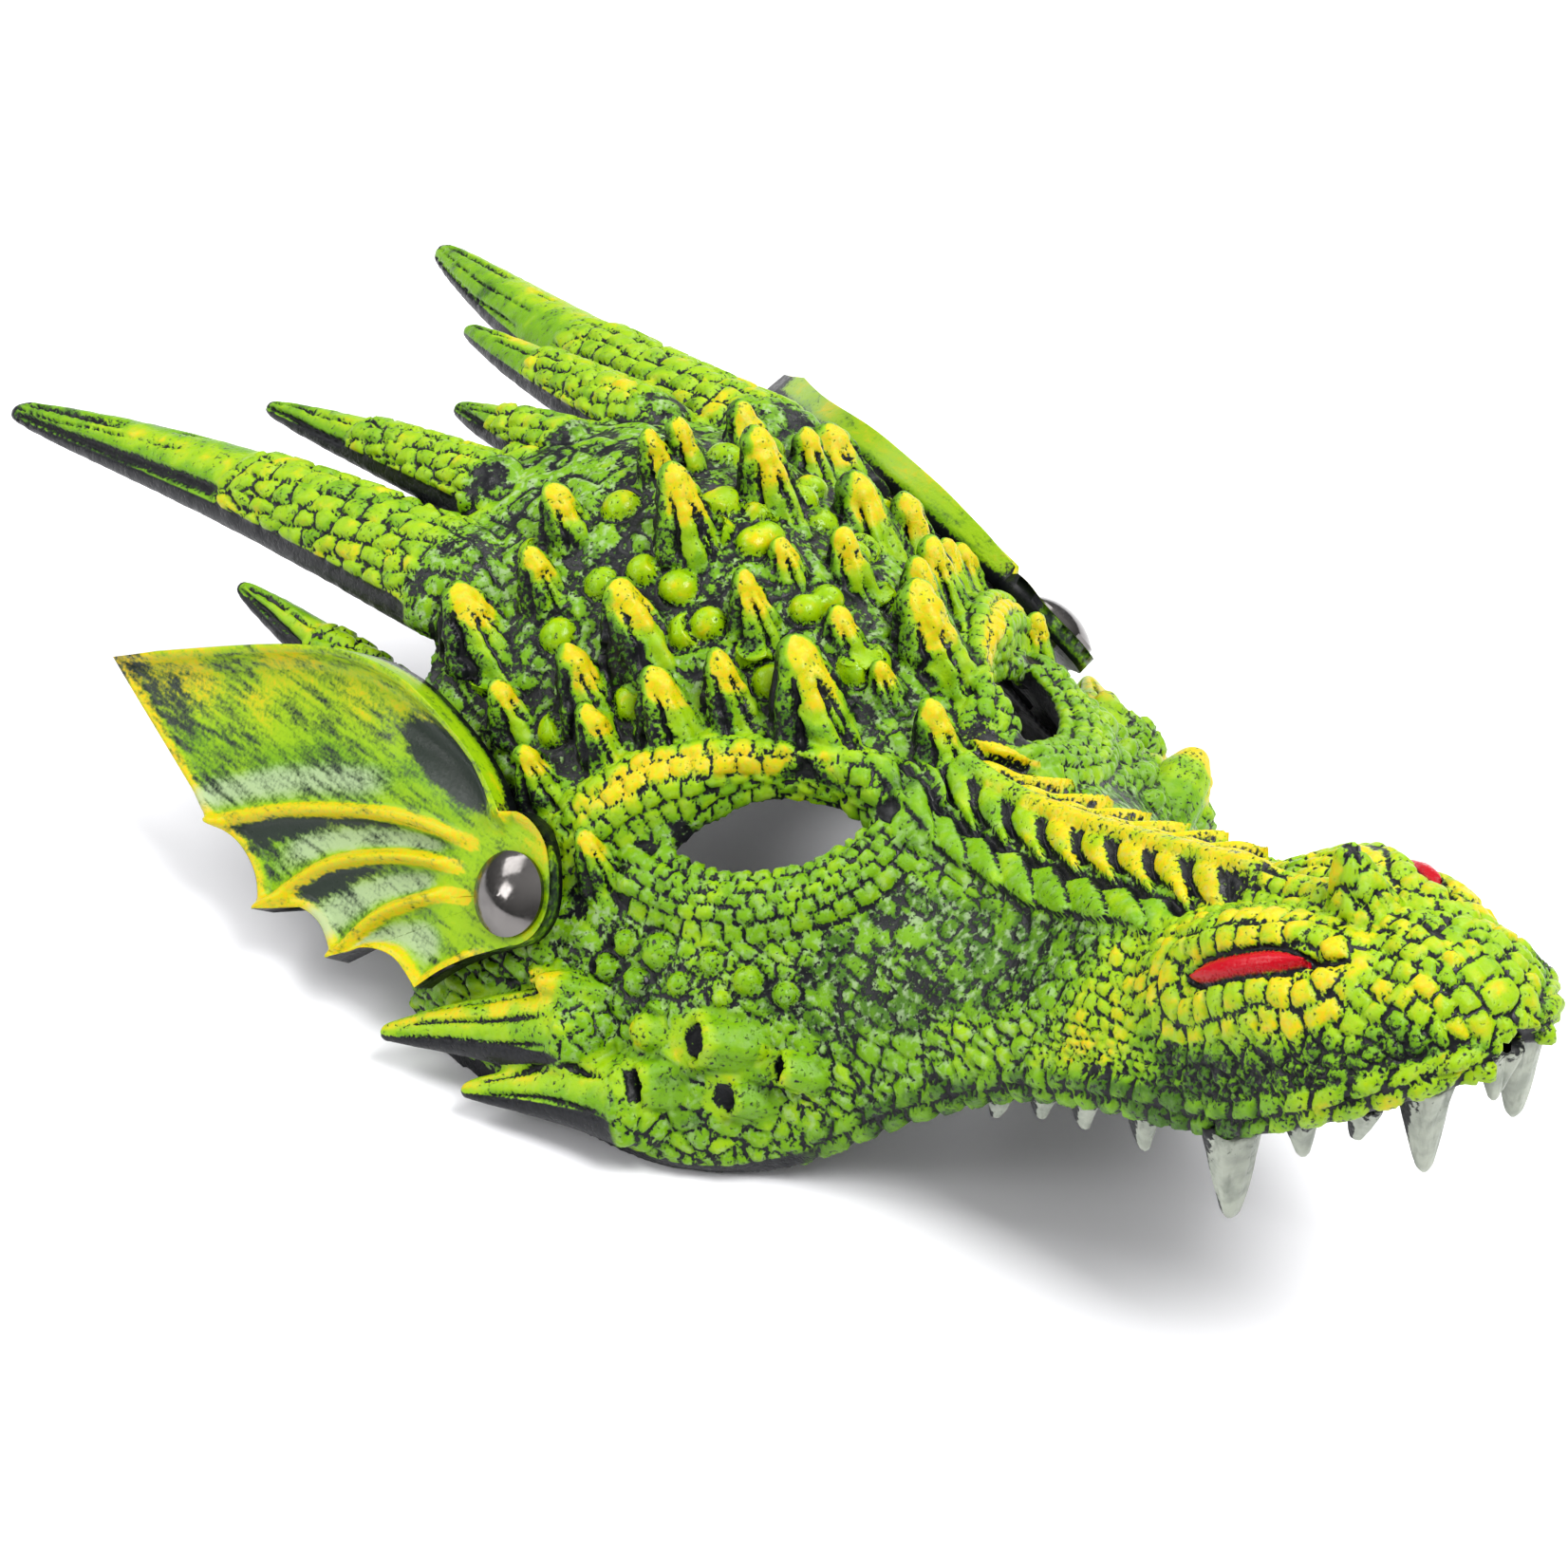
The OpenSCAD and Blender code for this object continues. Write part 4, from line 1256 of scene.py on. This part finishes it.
def strap():
    """A woven band from rivet to rivet behind the face: it drops from each rivet and lies on the table."""
    axes = rivet_frame()
    rest = STRAP_T / 2 + 0.4
    # its middle and the way across it, in turn
    half = [(RIVET_AT + x * axes[:, 0] - 9.6 * axes[:, 2], way)
            for x, way in ((8, axes[:, 1]), (-8, axes[:, 1]), (-15, (-0.05, 1, 0)))]
    half += [((-61, 50, 7), (-0.2, 1, 0)), ((-57, 54, 2.5), (-0.4, 0.9, 0)),
             ((-48, 62, rest), (-0.6, 0.8, 0)), ((-34, 74, rest), (-0.6, 0.8, 0)),
             ((-20, 83, rest), (-0.35, 0.94, 0)), ((-8, 86, rest), (-0.1, 1, 0))]
    rows = half + [(flip(c), flip(d)) for c, d in half[::-1]]
    middle = curve([c for c, d in rows], 260)
    across = unit(curve([unit(d) for c, d in rows], 260))
    ahead = unit(np.gradient(middle, axis=0))
    across = unit(across - ahead * np.sum(across * ahead, axis=1, keepdims=True))
    w = np.linspace(-1, 1, 45)
    ribbed = 1 - 0.22 * (0.5 + 0.5 * np.cos(w * math.pi * 7))
    thick = STRAP_T / 2 * ribbed * np.sqrt(np.clip(1.02 - np.abs(w) ** 12, 0.05, 1))
    flat = middle[:, None] + w[:, None] * across[:, None] * STRAP_WIDE / 2
    out = thick[:, None] * np.cross(ahead, across)[:, None]
    layers = [flat + out, flat - out]
    for layer in layers:
        layer[..., 2] = np.maximum(layer[..., 2], 0.3)
    return new_object("strap_band", *grid_solid(*layers))


def woven():
    m = Nodes("strap_fabric")
    sockets = {"Vector": m.where, "Scale": 260.0, "Distortion": 1.5, "Detail": 2.0}
    wave = m.node("ShaderNodeTexWave", sockets, bands_direction="X").outputs["Fac"]
    fuzz, cloud = m.noise(0.5, 4), m.noise(9.0, 3)
    tone = m.madd(wave, 0.5, m.math("MULTIPLY", fuzz, 0.6))
    colour = m.mix(m.ramp(tone, 0.3, 0.85), (0.006, 0.006, 0.007, 1), (0.035, 0.035, 0.038, 1))
    colour = m.mix(m.ramp(cloud, 0.45, 0.7, 0.0, 0.4), colour, (0.045, 0.045, 0.05, 1))
    m.put(m.shader, {"Sheen Weight": 0.25})
    return m.surface(colour, 0.82, tone, 0.6, 0.3)


# ---------------- the parts of the mask
face = casting()
sculpt(face)
paint = painted_foam()
face.data.materials.append(paint)
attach(face, "face")
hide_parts("mask_shell", "horns", "cheek_spikes", "forehead_spikes", "snout_forms")

fin_paint = painted_fin()
for hand, way in (("right", -1), ("left", 1)):
    fin = ear(way)
    fin.data.materials.append(fin_paint)
    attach(fin, hand + "_ear")
    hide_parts("ear_" + hand)

fangs = teeth()
fangs.data.materials.append(tooth_material())
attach(fangs, "face")
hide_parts("teeth")

band = strap()
band.data.materials.append(woven())
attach(band, "face")
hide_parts("elastic_strap")

rivet_looks = {
    # the cap's colour is far darker than chrome's: a painted dark reflection
    "rivet_cap_": metal("cap_metal", (0.17, 0.16, 0.155, 1), 0.09),
    "rivet_post_": metal("post_metal", (0.45, 0.44, 0.42, 1), 0.3),
    "washer_": plastic()}
for node, material in rivet_looks.items():
    for hand in ("right", "left"):
        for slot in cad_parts[node + hand].material_slots:
            slot.material = material

# ---------------- camera, floor and light
CAMERA_TURN, CAMERA_TILT = math.radians(-39.26), math.radians(36.89)
CAMERA_RIGHT, CAMERA_UP, CAMERA_FAR = -28.76, 42.69, 684.55
LENS, SENSOR = 87.2, 36.0
right = np.array([math.cos(CAMERA_TURN), math.sin(CAMERA_TURN), 0])
level = np.array([math.sin(CAMERA_TURN), -math.cos(CAMERA_TURN), 0])
back = level * math.cos(CAMERA_TILT) + [0, 0, math.sin(CAMERA_TILT)]
up = np.cross(back, right)
where = to_frame(right * CAMERA_RIGHT + up * CAMERA_UP + back * CAMERA_FAR)
camera_data = bpy.data.cameras.new("camera")
camera_data.lens, camera_data.sensor_width = LENS, SENSOR
camera = bpy.data.objects.new("camera", camera_data)
turn = Matrix([[right[i], up[i], back[i]] for i in range(3)]).to_4x4()
camera.matrix_world = Matrix.Translation(Vector(where)) @ turn
bpy.context.scene.collection.objects.link(camera)
bpy.context.scene.camera = camera

corners = np.array([[-1, -1, 0], [1, -1, 0], [1, 1, 0], [-1, 1, 0]]) * 3000.0
floor = new_object("floor", corners, [[0, 1, 2, 3]])
floor_material = bpy.data.materials.new("floor")
floor_material.use_nodes = True
floor_shader = floor_material.node_tree.nodes["Principled BSDF"]
floor_shader.inputs["Base Color"].default_value = (0.94, 0.94, 0.96, 1)
floor_shader.inputs["Roughness"].default_value = 0.7
floor.data.materials.append(floor_material)


def area_light(name, at, size, power):
    """A square light that faces the mask; places and size in metres."""
    data = bpy.data.lights.new(name, "AREA")
    data.energy, data.size = power, size
    light = bpy.data.objects.new(name, data)
    light.location = at
    light.rotation_euler = (Vector((0, 0, 0.03)) - Vector(at)).to_track_quat("-Z", "Y").to_euler()
    bpy.context.scene.collection.objects.link(light)


area_light("key", (0.15, -0.7, 1.2), 0.6, 19)
area_light("back", (-0.45, 0.75, 1.0), 0.7, 7)
area_light("near", (-0.9, 0.3, 0.5), 0.35, 2.5)
area_light("side", (0.9, 0.3, 0.9), 0.8, 7)
# the sky is brighter above than below
world = bpy.data.worlds.new("world")
bpy.context.scene.world = world
world.use_nodes = True
sky = world.node_tree
sky.nodes["Background"].inputs["Color"].default_value = (1, 1, 1, 1)
height = sky.nodes.new("ShaderNodeSeparateXYZ")
sky.links.new(sky.nodes.new("ShaderNodeTexCoord").outputs["Generated"], height.inputs[0])
glow = sky.nodes.new("ShaderNodeMapRange")
sky.links.new(height.outputs["Z"], glow.inputs["Value"])
glow.inputs["To Min"].default_value, glow.inputs["To Max"].default_value = 0.18, 0.85
sky.links.new(glow.outputs["Result"], sky.nodes["Background"].inputs["Strength"])

bpy.context.scene.view_settings.view_transform = "Standard"
